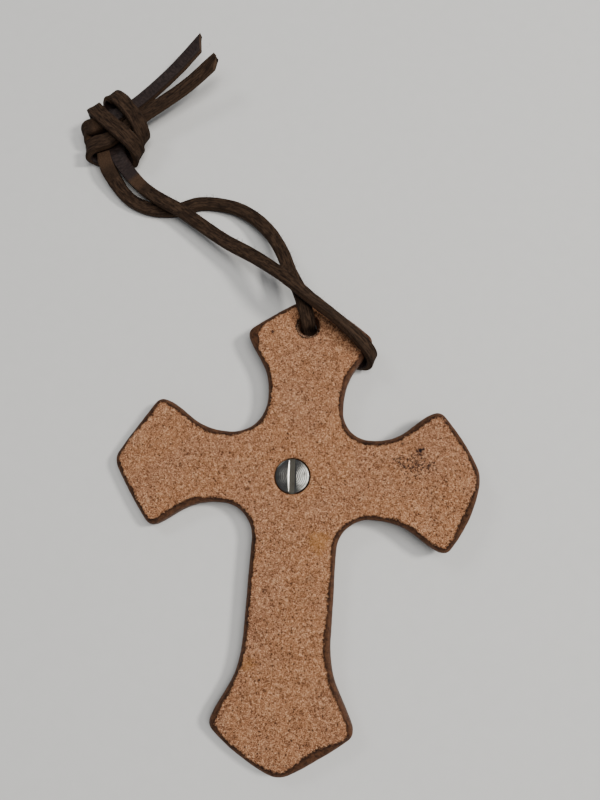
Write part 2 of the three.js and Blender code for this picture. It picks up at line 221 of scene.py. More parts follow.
class Surface:
    """Points, faces and named numbers that become one mesh piece."""

    def __init__(self) -> None:
        """Start empty."""
        self.points: list[np.ndarray] = []
        self.faces: list[tuple[int, ...]] = []
        self.numbers: dict[str, list[np.ndarray]] = {}
        self.count = 0

    def add(self, points: np.ndarray, **numbers: np.ndarray | float) -> np.ndarray:
        """Add points.

        Args:
            points: rows of x, y and z in millimetres.
            numbers: what each point carries, under its name.

        Returns:
            The indices of the new points.
        """
        index = np.arange(self.count, self.count + len(points))
        self.points.append(np.asarray(points, float))
        self.count += len(points)
        for name, value in numbers.items():
            full = np.broadcast_to(np.asarray(value, float), (len(points),))
            self.numbers.setdefault(name, []).append(full)
        return index

    def band(self, lower: Sequence[int], upper: Sequence[int]) -> None:
        """Join two loops of points with quads.

        Args:
            lower: the first loop's indices.
            upper: the second loop's, of the same length.
        """
        for i in range(len(lower)):
            j = (i + 1) % len(lower)
            self.faces.append((int(lower[i]), int(lower[j]), int(upper[j]), int(upper[i])))

    def bands(self, rows: Sequence[Sequence[int]], inwards: bool = False) -> None:
        """Join each loop of points with the next one.

        Args:
            rows: the loops, from the lowest to the highest.
            inwards: whether the faces look to the loops' middle, as in a hole.
        """
        for lower, upper in zip(rows, rows[1:]):
            if inwards:
                self.band(upper, lower)
            else:
                self.band(lower, upper)

    def piece(self, name: str, material: bpy.types.Material) -> bpy.types.Object:
        """Make the mesh object, shaded smooth.

        Args:
            name: the piece's name.
            material: its finish.

        Returns:
            The new object, which rides on the part's one body.
        """
        mesh = bpy.data.meshes.new(name)
        everything = np.vstack(self.points) * MM
        mesh.from_pydata(everything.tolist(), [], self.faces)
        for label, rows in self.numbers.items():
            stored = mesh.attributes.new(label, "FLOAT", "POINT")
            stored.data.foreach_set("value", np.concatenate(rows))
        mesh.materials.append(material)
        mesh.polygons.foreach_set("use_smooth", [True] * len(mesh.polygons))
        mesh.validate()
        mesh.update()
        made = bpy.data.objects.new(name, mesh)
        bpy.context.scene.collection.objects.link(made)
        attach(made, BODY)
        return made


@dataclass(frozen=True)
class Corner:
    """One of an arm's two corners, from the arm's own middle line."""

    along: float
    out: float
    flare_from: float
    slope: float
    bow: float


@dataclass(frozen=True)
class Arm:
    """An arm of the cross: its direction, its point and the corners before and after it."""

    turn: float
    tip: tuple[float, float]
    before: Corner
    after: Corner

    def at(self, along: float, across: float) -> np.ndarray:
        """The point that far along and across the arm.

        Args:
            along: the distance along its middle line.
            across: the distance to that line's left.

        Returns:
            The point's x and y.
        """
        turn = math.radians(self.turn)
        return np.array([
            along * math.cos(turn) - across * math.sin(turn),
            along * math.sin(turn) + across * math.cos(turn),
        ])


@dataclass(frozen=True)
class Notch:
    """A rounded notch: how far off the middles of the arms before and after it, and its rounding."""

    before: float
    after: float
    round: float


def bezier(controls: Sequence[np.ndarray], steps: int) -> np.ndarray:
    """Points along a quadratic or cubic curve, without its last one.

    Args:
        controls: three or four control points.
        steps: how many points.

    Returns:
        The points as rows.
    """
    degree = len(controls) - 1
    share = np.arange(steps)[:, None] / steps
    total = np.zeros((steps, 2))
    for i, point in enumerate(controls):
        total += math.comb(degree, i) * (1 - share) ** (degree - i) * share**i * point
    return total


@dataclass(frozen=True)
class CrossOutline:
    """The cross's outline, with the same sizes as the part's source."""

    corner_round: float = 2.4
    tip_round: float = 3.0
    flare_start: float = 0.5
    flare_end: float = 0.3
    quarter_round: float = 0.5523
    flare_steps: int = 40
    corner_steps: int = 16
    edge_steps: int = 30
    tip_steps: int = 20
    notch_steps: int = 30
    arms: tuple[Arm, ...] = (
        Arm(0, (48.9, 2.6), Corner(40.3, 19.4, 20.7, 0.42, 1.4), Corner(37.5, 19.4, 18.9, 0.5, 0.6)),
        Arm(90, (50.8, 1.3), Corner(38.8, 18.5, 19.4, 0.45, 0.7), Corner(39.6, 18.4, 20.1, 0.42, 0.3)),
        Arm(180, (53.4, -0.2), Corner(41.9, 18.7, 20.7, 0.34, 0.1), Corner(40.5, 18.0, 21.1, 0.55, 0.35)),
        Arm(270, (77.6, 0.4), Corner(66.4, 19.2, 43.4, 0.4, 0.9), Corner(65.5, 19.0, 42.2, 0.4, 0.4)),
    )
    notches: tuple[Notch, ...] = (
        Notch(9.9, 10.8, 7.9),
        Notch(10.6, 10.0, 10.0),
        Notch(9.9, 11.8, 9.1),
        Notch(11.3, 11.7, 8.8),
    )

    @staticmethod
    def towards(start: np.ndarray, end: np.ndarray, distance: float) -> np.ndarray:
        """The point on the way from start to end, this far on."""
        return start + (end - start) * distance / np.linalg.norm(end - start)

    def side(self, arm: Arm, corner: Corner, side: int, wall: float) -> dict[str, np.ndarray]:
        """The points that one side of an arm is drawn between.

        Args:
            arm: the arm.
            corner: its corner on that side.
            side: -1 before the arm's middle line, going round anticlockwise, and 1 after it.
            wall: the narrow part's distance from the middle line.

        Returns:
            The points, by name.
        """
        flare = corner.along - corner.flare_from
        short = self.corner_round / math.hypot(1, corner.slope)

        def on_flare(back: float) -> np.ndarray:
            """A point on the flare's end slope, that far short of the corner."""
            return arm.at(corner.along - back, side * (corner.out - back * corner.slope))

        sharp = arm.at(corner.along, side * corner.out)
        tip = arm.at(*arm.tip)
        line = (tip - sharp) / np.linalg.norm(tip - sharp)
        outwards = side * np.array([-line[1], line[0]])
        bowed = (sharp + tip) / 2 + outwards * 2 * corner.bow
        return {
            "root": arm.at(corner.flare_from, side * wall),
            "root_handle": arm.at(corner.flare_from + flare * self.flare_start, side * wall),
            "last_handle": on_flare(short + flare * self.flare_end),
            "last": on_flare(short),
            "sharp": sharp,
            "edge_start": self.towards(sharp, bowed, self.corner_round),
            "bowed": bowed,
            "edge_end": self.towards(tip, bowed, self.tip_round),
            "tip": tip,
        }

    def rough(self) -> np.ndarray:
        """The outline as many points, anticlockwise, unevenly spaced.

        Returns:
            The points as rows.
        """
        rows: list[np.ndarray] = []

        def curve(side: dict[str, np.ndarray], names: str, steps: int) -> None:
            """Add the curve between those points of a side."""
            rows.append(bezier([side[name] for name in names.split()], steps))

        for i, arm in enumerate(self.arms):
            before, after = self.notches[i - 1], self.notches[i]
            out = self.side(arm, arm.before, -1, before.after)
            back = self.side(arm, arm.after, 1, after.before)
            curve(out, "root root_handle last_handle last", self.flare_steps)
            curve(out, "last sharp edge_start", self.corner_steps)
            curve(out, "edge_start bowed edge_end", self.edge_steps)
            rows.append(bezier([out["edge_end"], out["tip"], back["edge_end"]], self.tip_steps))
            curve(back, "edge_end bowed edge_start", self.edge_steps)
            curve(back, "edge_start sharp last", self.corner_steps)
            curve(back, "last last_handle root_handle root", self.flare_steps)
            start = arm.at(after.after + after.round, after.before)
            meeting = arm.at(after.after, after.before)
            following = self.arms[(i + 1) % len(self.arms)]
            end = following.at(after.before + after.round, -after.after)
            rows.append(bezier([
                start,
                start + (meeting - start) * self.quarter_round,
                end + (meeting - end) * self.quarter_round,
                end,
            ], self.notch_steps))
        return np.vstack(rows)

    def points(self, step: float) -> np.ndarray:
        """The outline evenly spaced.

        Args:
            step: about the distance from point to point.

        Returns:
            The points as rows, anticlockwise.
        """
        rough = self.rough()
        closed = np.vstack([rough, rough[:1]])
        length = np.concatenate([[0], np.cumsum(np.linalg.norm(np.diff(closed, axis=0), axis=1))])
        count = int(length[-1] / step)
        wanted = np.arange(count) * length[-1] / count
        return np.column_stack([np.interp(wanted, length, closed[:, k]) for k in range(2)])


@dataclass(frozen=True)
class ScrewSizes:
    """The screw's sizes in the plate, with the same values as the part's source."""

    x: float = -2.0
    y: float = -1.4
    head_radius: float = 4.75
    head_thickness: float = 1.4
    head_ease: float = 0.25
    head_sunk: float = 0.1
    shank_radius: float = 1.7
    shank_end: float = 1.6
    slot_width: float = 1.6
    slot_depth: float = 0.9
    slot_turn: float = 3.0
    post_wall: float = 0.6
    post_head_thickness: float = 1.1
    post_head_sunk: float = 0.25
    gap: float = 0.3
    leather: float = LEATHER_THICKNESS

    @property
    def head_top(self) -> float:
        """The head's upper face."""
        return self.leather - self.head_sunk

    @property
    def head_underside(self) -> float:
        """The head's underside."""
        return self.head_top - self.head_thickness

    @property
    def seat_floor(self) -> float:
        """The floor of the seat pressed into the suede."""
        return self.head_underside - self.gap

    @property
    def seat_radius(self) -> float:
        """The radius of both seats."""
        return self.head_radius + self.gap

    @property
    def post_head_top(self) -> float:
        """The inner face of the post's head."""
        return self.post_head_sunk + self.post_head_thickness

    @property
    def front_seat_top(self) -> float:
        """The ceiling of the seat pressed into the grain side."""
        return self.post_head_top + self.gap

    @property
    def bore_radius(self) -> float:
        """The post's bore."""
        return self.shank_radius + self.gap

    @property
    def post_radius(self) -> float:
        """The post's outside."""
        return self.bore_radius + self.post_wall

    @property
    def hole_radius(self) -> float:
        """The hole through the leather."""
        return self.post_radius + self.gap


@dataclass
class PlatePlace:
    """How the plate leans on the surface: the same lean as in the part's source."""

    outline: CrossOutline
    box: tuple[Sequence[float], Sequence[float]]
    thickness: float = LEATHER_THICKNESS
    edge_round: float = EDGE_ROUND
    lean: float = 2.26
    towards: float = 28.3
    border_step: float = 0.5

    def __post_init__(self) -> None:
        """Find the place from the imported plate's box, which the leaning outline fills."""
        way = math.radians(self.towards)
        axis = Vector((math.sin(way), -math.cos(way), 0))
        self.turn = np.array(Matrix.Rotation(math.radians(self.lean), 3, axis))
        border = self.outline.points(self.border_step)
        inset = border + inward(border) * self.edge_round
        levels = [
            np.column_stack([border, np.full(len(border), z)])
            for z in (self.edge_round, self.thickness - self.edge_round)
        ]
        levels += [np.column_stack([inset, np.full(len(inset), z)]) for z in (0.0, self.thickness)]
        leaning = np.vstack(levels) @ self.turn.T
        middle = (leaning.min(axis=0) + leaning.max(axis=0)) / 2
        self.shift = (np.array(self.box[0]) + np.array(self.box[1])) / 2 * PER_METRE - middle

    def place(self, points: np.ndarray) -> np.ndarray:
        """Points of the plate's frame, where they lie in the part's frame."""
        return np.asarray(points, float) @ self.turn.T + self.shift

    def flat(self, points: np.ndarray) -> np.ndarray:
        """Points of the part's frame, where they lie in the plate's frame."""
        return (points - self.shift) @ self.turn


def inward(loop: np.ndarray) -> np.ndarray:
    """Unit vectors square to an anticlockwise loop, pointing into it."""
    along = np.roll(loop, -1, axis=0) - np.roll(loop, 1, axis=0)
    return normalised(np.column_stack([-along[:, 1], along[:, 0]]))


@dataclass(frozen=True)
class Mark:
    """A mark on the suede: its place, size and strength."""

    x: float
    y: float
    radius: float
    strength: float = 1.0


def marks_from(*rows: tuple[float, ...]) -> tuple[Mark, ...]:
    """Marks from rows of x, y, radius and, where it isn't full, strength."""
    return tuple(Mark(*row) for row in rows)


# Ink specks on the right arm, and one beside the lace hole
INK = marks_from(
    (32.4, 7.9, 0.62), (33.2, 8.3, 0.36), (31.7, 7.6, 0.36), (27.6, 9.5, 0.3, 0.7),
    (27.1, 5.5, 0.32, 0.9), (28.3, 3.1, 0.4), (28.0, 3.6, 0.3, 0.8), (32.1, 3.9, 0.42, 0.8),
    (35.1, 4.0, 0.42, 0.9), (34.7, 3.6, 0.34, 0.8), (36.8, 3.1, 0.28, 0.7), (32.8, 6.6, 0.26, 0.7),
    (29.8, 6.6, 0.24, 0.5), (31.2, 5.0, 0.28, 0.6), (32.3, 1.4, 0.32, 0.7), (28.0, -3.2, 0.25, 0.6),
    (-10.8, 39.5, 0.42),
)
# Where fine specks of ink gather round them
CLOUD = marks_from(
    (31.5, 4.3, 3.4), (27.4, 4.2, 2.4, 0.9), (35.4, 3.6, 1.9, 0.9),
    (30.0, 1.4, 2.2, 0.7), (32.2, 7.6, 1.5, 0.7), (29.2, -2.4, 1.8, 0.5),
)
# Orange stains on the lower arm
STAINS = marks_from(
    (6.3, -18.2, 2.6, 0.7), (8.2, -17.2, 1.6, 0.5), (6.5, -20.6, 1.5, 0.5), (-9.9, -50.7, 1.8, 0.6),
)
# Brown spots
SPOTS = marks_from(
    (5.2, -27.9, 1.2, 0.42), (5.9, -28.6, 0.7, 0.4), (-6.8, -32.2, 0.8, 0.4), (12.2, -57.3, 0.8, 0.4),
    (2.4, -68.8, 0.6, 0.5), (4.8, -61.3, 0.7, 0.4), (-7.9, 5.6, 0.9, 0.3), (9.5, -37.0, 0.7, 0.4),
    (-9.4, -49.3, 0.9, 0.4),
    # A fine scratch on the right arm
    (37.0, -10.5, 0.35, 0.6), (37.9, -10.0, 0.3, 0.5), (38.8, -9.5, 0.35, 0.5), (39.8, -8.8, 0.3, 0.5),
    (40.7, -8.2, 0.35, 0.6), (41.6, -7.7, 0.3, 0.5), (42.3, -7.3, 0.3, 0.5),
)
# Each kind of mark, with how far its rims wander
MARKS = {"ink": (INK, 0.2), "cloud": (CLOUD, 0.8), "stain": (STAINS, 1.2), "spot": (SPOTS, 1.1)}
# How a mark's rim wanders, how far the mark reaches and how softly it ends, in its own radii
MARK_RIM = Ripple(0.7, 9.1, 1.0)
MARK_REACH = 1.25
MARK_FADE = 0.6
# Where the edge's dye runs wider onto the suede: x, y, how far round and how much
DYE_PATCHES = (
    (-16.5, 38.5, 4.5, 1.5), (45.5, -9.0, 8.0, 0.7), (13.0, -45.0, 10.0, 0.6), (9.0, -71.5, 8.0, 1.0),
    (-17.0, -66.0, 6.0, 0.4), (-30.0, -12.0, 9.0, 0.6), (17.0, 28.0, 7.0, 0.5), (-50.0, 5.0, 5.0, -0.5),
)


def marked(points: np.ndarray, marks: Sequence[Mark], ragged: float) -> np.ndarray:
    """How strongly each point is marked.

    Args:
        points: rows of x and y in the plate's frame.
        marks: the marks.
        ragged: how far the marks' rims wander.

    Returns:
        A number from 0 to 1 for each row.
    """
    total = np.zeros(len(points))
    rough = MARK_RIM.at(points) * ragged
    for mark in marks:
        near = np.linalg.norm(points - [mark.x, mark.y], axis=1)
        inside = (mark.radius * MARK_REACH - near + rough) / (mark.radius * MARK_FADE)
        total = np.maximum(total, mark.strength * eased(inside))
    return total


def circle(x: float, y: float, radius: float, count: int) -> np.ndarray:
    """An anticlockwise circle of points."""
    angles = np.arange(count) * 2 * math.pi / count
    return np.column_stack([x + radius * np.cos(angles), y + radius * np.sin(angles)])


@dataclass
class Rim:
    """A loop that both faces of the plate share: its place, its heights and its points on each face."""

    loop: np.ndarray
    low: np.ndarray
    top: np.ndarray
    under: np.ndarray
    upper: np.ndarray

    def height(self, share: float) -> np.ndarray:
        """The height that share of the way up from face to face."""
        return self.low + (self.top - self.low) * share

    def shifted(self, by: float) -> np.ndarray:
        """The loop's points as places in noise, moved by so much for each level of a wall."""
        return np.column_stack([self.loop, np.full(len(self.loop), by)])


@dataclass
class LeatherCross:
    """The thick hide plate, from its outline, with rounded edges, a lace hole and a seated screw.

    The rings are distances in from the border, or out from the hole and the seat, at which the net
    of points is denser. Each level of the hole's wall is a share of the height and how far its
    fibres close in, as a share of the lip.
    """

    outline: CrossOutline
    place: PlatePlace
    screw: ScrewSizes
    thickness: float = LEATHER_THICKNESS
    edge_round: float = EDGE_ROUND
    hole_x: float = -0.7
    hole_y: float = 41.7
    hole_radius: float = 3.2
    hole_ease: float = 0.75
    hole_lip: float = 0.75
    hole_sides: int = 72
    hole_levels: tuple[tuple[float, float], ...] = (
        (0.1, 0.5), (0.25, 1.0), (0.42, 1.2), (0.58, 1.05), (0.72, 0.6), (0.86, 0.2),
    )
    hole_turn: float = 5.0
    seat_sides: int = 96
    seat_dent: float = 0.28
    seat_dent_reach: float = 0.35
    edge_levels: int = 5
    edge_turn: float = 3.0
    border_step: float = 0.4
    grid_step: float = 0.55
    fine_step: float = 0.28
    row_spacing: float = 0.866
    grid_jitter: float = 0.18
    grid_seed: int = 7
    border_gap: float = 0.25
    round_gap: float = 1.25
    rings: tuple[float, ...] = (0.05, 0.14, 0.27, 0.44, 0.65, 0.88, 1.15, 1.5, 1.95)
    round_rings: tuple[float, ...] = (0.06, 0.16, 0.32, 0.52, 0.78, 1.05)
    fine_patch: tuple[float, float, float, float] = (24.0, 1.0, 38.5, 10.5)
    calm_reach: float = 1.6
    relief_drop: float = 0.08
    grain_lift: float = 0.04
    dye_width: float = 1.35
    hole_dye: float = 0.9
    edge_bleed: float = -2.0
    hole_bleed: float = -0.1
    seat_bleed: float = -0.4
    patch_reach: float = 1.2
    border_ripples: tuple[Ripple, ...] = (Ripple(6.0, 3.3, 0.12), Ripple(1.8, 5.9, 0.05))
    relief_ripples: tuple[Ripple, ...] = (
        Ripple(14.0, 2.2, 0.1), Ripple(1.5, 4.4, 0.05), Ripple(0.8, 6.1, 0.035),
    )
    dye_ripples: tuple[Ripple, ...] = (Ripple(5.0, 1.7, 0.45), Ripple(1.4, 8.2, 0.3))
    grain_ripple: Ripple = Ripple(2.2, 7.7, 0.03)
    edge_ripple: Ripple = Ripple(1.6, 2.9, 0.05)
    hole_ripple: Ripple = Ripple(0.8, 4.1, 0.1)

    def __post_init__(self) -> None:
        """Draw the border, a little uneven as hand finishing leaves it."""
        even = self.outline.points(self.border_step)
        push = sum(ripple.at(even) for ripple in self.border_ripples)
        self.border = even - inward(even) * push[:, None]

    def depth(self, points: np.ndarray, batch: int = 2000) -> np.ndarray:
        """How far inside the border each point lies.

        Args:
            points: rows of x and y.
            batch: how many of them are measured at a time.

        Returns:
            The distances, negative outside.
        """
        normals = inward(self.border)
        distance = np.empty(len(points))
        for start in range(0, len(points), batch):
            part = points[start : start + batch]
            gaps = part[:, None, :] - self.border[None]
            squared = (gaps**2).sum(axis=2)
            index = squared.argmin(axis=1)
            rows = np.arange(len(part))
            sign = np.sign((gaps[rows, index] * normals[index]).sum(axis=1))
            distance[start : start + batch] = sign * np.sqrt(squared[rows, index])
        return distance

    def from_hole(self, points: np.ndarray) -> np.ndarray:
        """How far outside the lace hole each point lies."""
        return np.linalg.norm(points - [self.hole_x, self.hole_y], axis=1) - self.hole_radius

    def from_seat(self, points: np.ndarray) -> np.ndarray:
        """How far outside the screw's seat each point lies."""
        return np.linalg.norm(points - [self.screw.x, self.screw.y], axis=1) - self.screw.seat_radius

    def around_hole(self, out: float) -> np.ndarray:
        """A circle of points that far outside the lace hole."""
        return circle(self.hole_x, self.hole_y, self.hole_radius + out, self.hole_sides)

    def around_screw(self, radius: float) -> np.ndarray:
        """A circle of points round the screw."""
        return circle(self.screw.x, self.screw.y, radius, self.seat_sides)

    def scatter(self, rng: np.random.Generator, step: float, patch: Sequence[float]) -> np.ndarray:
        """Points all over a patch, in staggered rows, each moved a little.

        Args:
            rng: draws the small moves.
            step: the distance from point to point.
            patch: the least x and y and the greatest x and y.

        Returns:
            The points as rows.
        """
        x0, y0, x1, y1 = patch
        xs, ys = np.meshgrid(np.arange(x0, x1, step), np.arange(y0, y1, step * self.row_spacing))
        xs = xs + (np.arange(len(ys))[:, None] % 2) * step / 2
        points = np.column_stack([xs.ravel(), ys.ravel()])
        return points + rng.uniform(-self.grid_jitter, self.grid_jitter, points.shape) * step

    def grid(self) -> np.ndarray:
        """Points inside the plate, closer together where the ink specks are.

        Returns:
            The points as rows.
        """
        rng = np.random.default_rng(self.grid_seed)
        whole = (*self.border.min(axis=0), *self.border.max(axis=0))
        wide = self.scatter(rng, self.grid_step, whole)
        fine = self.scatter(rng, self.fine_step, self.fine_patch)
        x0, y0, x1, y1 = self.fine_patch
        inside = (wide[:, 0] > x0) & (wide[:, 0] < x1) & (wide[:, 1] > y0) & (wide[:, 1] < y1)
        points = np.vstack([wide[~inside], fine])
        keep = self.depth(points) > self.rings[-1] + self.border_gap
        keep &= (self.from_hole(points) > self.round_gap) & (self.from_seat(points) > self.round_gap)
        return points[keep]

    def net(self) -> tuple[np.ndarray, list[Facet], list[np.ndarray]]:
        """The plate's face as a flat net.

        Returns:
            The points, the triangles, and the indices of the border, hole and seat loops.
        """
        normals = inward(self.border)
        seat = self.screw.seat_radius
        loops = [self.border, self.around_hole(0.0), self.around_screw(seat)]
        rows = loops + [self.border + normals * ring for ring in self.rings]
        for ring in self.round_rings:
            rows += [self.around_hole(ring), self.around_screw(seat + ring)]
        rows.append(self.grid())
        edges: list[tuple[int, int]] = []
        spans = []
        start = 0
        for loop in loops:
            count = len(loop)
            edges += [(start + i, start + (i + 1) % count) for i in range(count)]
            spans.append(range(start, start + count))
            start += count
        made = delaunay_2d_cdt([Vector(p) for p in np.vstack(rows)], edges, [], 0, 1e-6, True)
        verts = np.array([[v.x, v.y] for v in made[0]])
        where = {old: new for new, olds in enumerate(made[3]) for old in olds}
        found = [np.array([where[i] for i in span]) for span in spans]
        return verts, self.inside(verts, made[2], found), found

    def inside(self, verts: np.ndarray, faces: list[list[int]], loops: list[np.ndarray]) -> list[Facet]:
        """The triangles that lie in the leather.

        Args:
            verts: the net's points.
            faces: all its triangles.
            loops: the border, hole and seat loops.

        Returns:
            The triangles that are kept, anticlockwise.
        """
        corners = np.array([face[:3] for face in faces])
        middle = verts[corners].mean(axis=1)
        border, hole, seat = (np.isin(corners, loop).all(axis=1) for loop in loops)
        kept = corners[~((border & (self.depth(middle) < 0)) | hole | seat)]
        a, b, c = (verts[kept[:, k]] for k in range(3))
        area = (b[:, 0] - a[:, 0]) * (c[:, 1] - a[:, 1]) - (b[:, 1] - a[:, 1]) * (c[:, 0] - a[:, 0])
        kept[area < 0] = kept[area < 0][:, ::-1]
        return [tuple(int(i) for i in row) for row in kept]

    @staticmethod
    def rounded(distance: np.ndarray, radius: float) -> np.ndarray:
        """How far a face rounded to that radius has dropped, this far from its rim."""
        left = np.clip(radius - distance, 0.0, radius)
        return radius - np.sqrt(radius**2 - left**2)

    def bleed(self, points: np.ndarray) -> np.ndarray:
        """How wide the edge's dye runs onto the suede, near each point.

        Args:
            points: rows of x and y.

        Returns:
            One width for each row.
        """
        wide = sum((ripple.at(points) for ripple in self.dye_ripples), start=self.dye_width)
        for x, y, reach, more in DYE_PATCHES:
            near = np.linalg.norm(points - [x, y], axis=1)
            wide += more * eased(self.patch_reach - near / reach)
        return wide

    def heights(self, verts: np.ndarray, deep: np.ndarray) -> tuple[np.ndarray, np.ndarray]:
        """The heights of the grain side and of the suede, with their relief.

        Args:
            verts: the net's points.
            deep: how far inside the border each one lies.

        Returns:
            The lower and the upper heights.
        """
        from_hole = self.from_hole(verts)
        drop = self.rounded(deep, self.edge_round)
        hole_drop = self.rounded(from_hole, self.hole_ease)
        calm = eased(deep / self.calm_reach)
        relief = sum(ripple.at(verts) for ripple in self.relief_ripples)
        dent = np.exp(-np.maximum(self.from_seat(verts), 0) / self.seat_dent_reach)
        top = self.thickness - drop - hole_drop - self.seat_dent * dent
        top = top + (relief - self.relief_drop) * calm
        low = drop + hole_drop + (self.grain_lift + self.grain_ripple.at(verts)) * calm
        return low, top

    def build(self, finish: "SuedeFinish") -> bpy.types.Object:
        """Make the plate and dress it.

        Args:
            finish: the leather's finish.

        Returns:
            The plate's object.
        """
        verts, faces, loops = self.net()
        deep = np.maximum(self.depth(verts), 0.0)
        deep[loops[0]] = 0.0
        low, top = self.heights(verts, deep)
        near_rim = np.minimum(deep, np.maximum(self.from_hole(verts), 0) + self.hole_dye)
        carried = {"rim": deep, "bleed": near_rim - self.bleed(verts)}
        marks = {name: marked(verts, rows, ragged) for name, (rows, ragged) in MARKS.items()}
        blank = dict.fromkeys(MARKS, 0.0)
        surface = Surface()
        placed = self.place.place(np.column_stack([verts, top]))
        upper = surface.add(placed, side=Face.SUEDE.value, **carried, **marks)
        surface.faces += [tuple(upper[list(face)]) for face in faces]
        placed = self.place.place(np.column_stack([verts, low]))
        under = surface.add(placed, side=Face.GRAIN.value, **carried, **blank)
        surface.faces += [tuple(under[list(face)][::-1]) for face in faces]
        rims = [Rim(verts[loop], low[loop], top[loop], under[loop], upper[loop]) for loop in loops]
        self.edge_wall(surface, rims[0])
        self.hole_wall(surface, rims[1])
        self.seat_wall(surface, rims[2])
        made = surface.piece("leather_plate", finish.material())
        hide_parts("leather_cross")
        return made

    def level(
        self, surface: Surface, points: np.ndarray, height: np.ndarray | float, bleed: float
    ) -> np.ndarray:
        """Add a loop of a wall.

        Args:
            surface: takes the points.
            points: the loop's x and y.
            height: its height, or one for each point.
            bleed: how far beyond the suede's dye it lies.

        Returns:
            The loop's indices.
        """
        full = np.column_stack([points, np.broadcast_to(height, (len(points),))])
        blank = dict.fromkeys(MARKS, 0.0)
        return surface.add(self.place.place(full), side=Face.CUT.value, rim=0.0, bleed=bleed, **blank)

    def edge_wall(self, surface: Surface, rim: Rim) -> None:
        """Join the two faces round the border, with the ripples of a burnished cut.

        Args:
            surface: takes the points and faces.
            rim: the loop that both faces share.
        """
        rows = [rim.under]
        normals = inward(rim.loop)
        for i in range(1, self.edge_levels):
            share = i / self.edge_levels
            ripple = self.edge_ripple.at(rim.shifted(share * self.edge_turn))
            ring = rim.loop + normals * ripple[:, None]
            rows.append(self.level(surface, ring, rim.height(share), self.edge_bleed))
        surface.bands([*rows, rim.upper])

    def hole_wall(self, surface: Surface, rim: Rim) -> None:
        """Join the two faces inside the lace hole, where the fibres close in round the lace.

        Args:
            surface: takes the points and faces.
            rim: the loop that both faces share.
        """
        rows = [rim.under]
        outwards = normalised(rim.loop - [self.hole_x, self.hole_y])
        for share, lip in self.hole_levels:
            rough = self.hole_ripple.at(rim.shifted(share * self.hole_turn))
            ring = rim.loop + outwards * (rough - lip * self.hole_lip)[:, None]
            rows.append(self.level(surface, ring, rim.height(share), self.hole_bleed - lip))
        surface.bands([*rows, rim.upper], inwards=True)

    def seat_wall(self, surface: Surface, rim: Rim) -> None:
        """Join the two faces through the screw's seats and hole.

        Args:
            surface: takes the points and faces.
            rim: the loop that both faces share.
        """
        screw = self.screw
        rows = [rim.under]
        for radius, height in (
            (screw.seat_radius, screw.front_seat_top),
            (screw.hole_radius, screw.front_seat_top),
            (screw.hole_radius, screw.seat_floor),
            (screw.seat_radius, screw.seat_floor),
        ):
            rows.append(self.level(surface, self.around_screw(radius), height, self.seat_bleed))
        surface.bands([*rows, rim.upper], inwards=True)


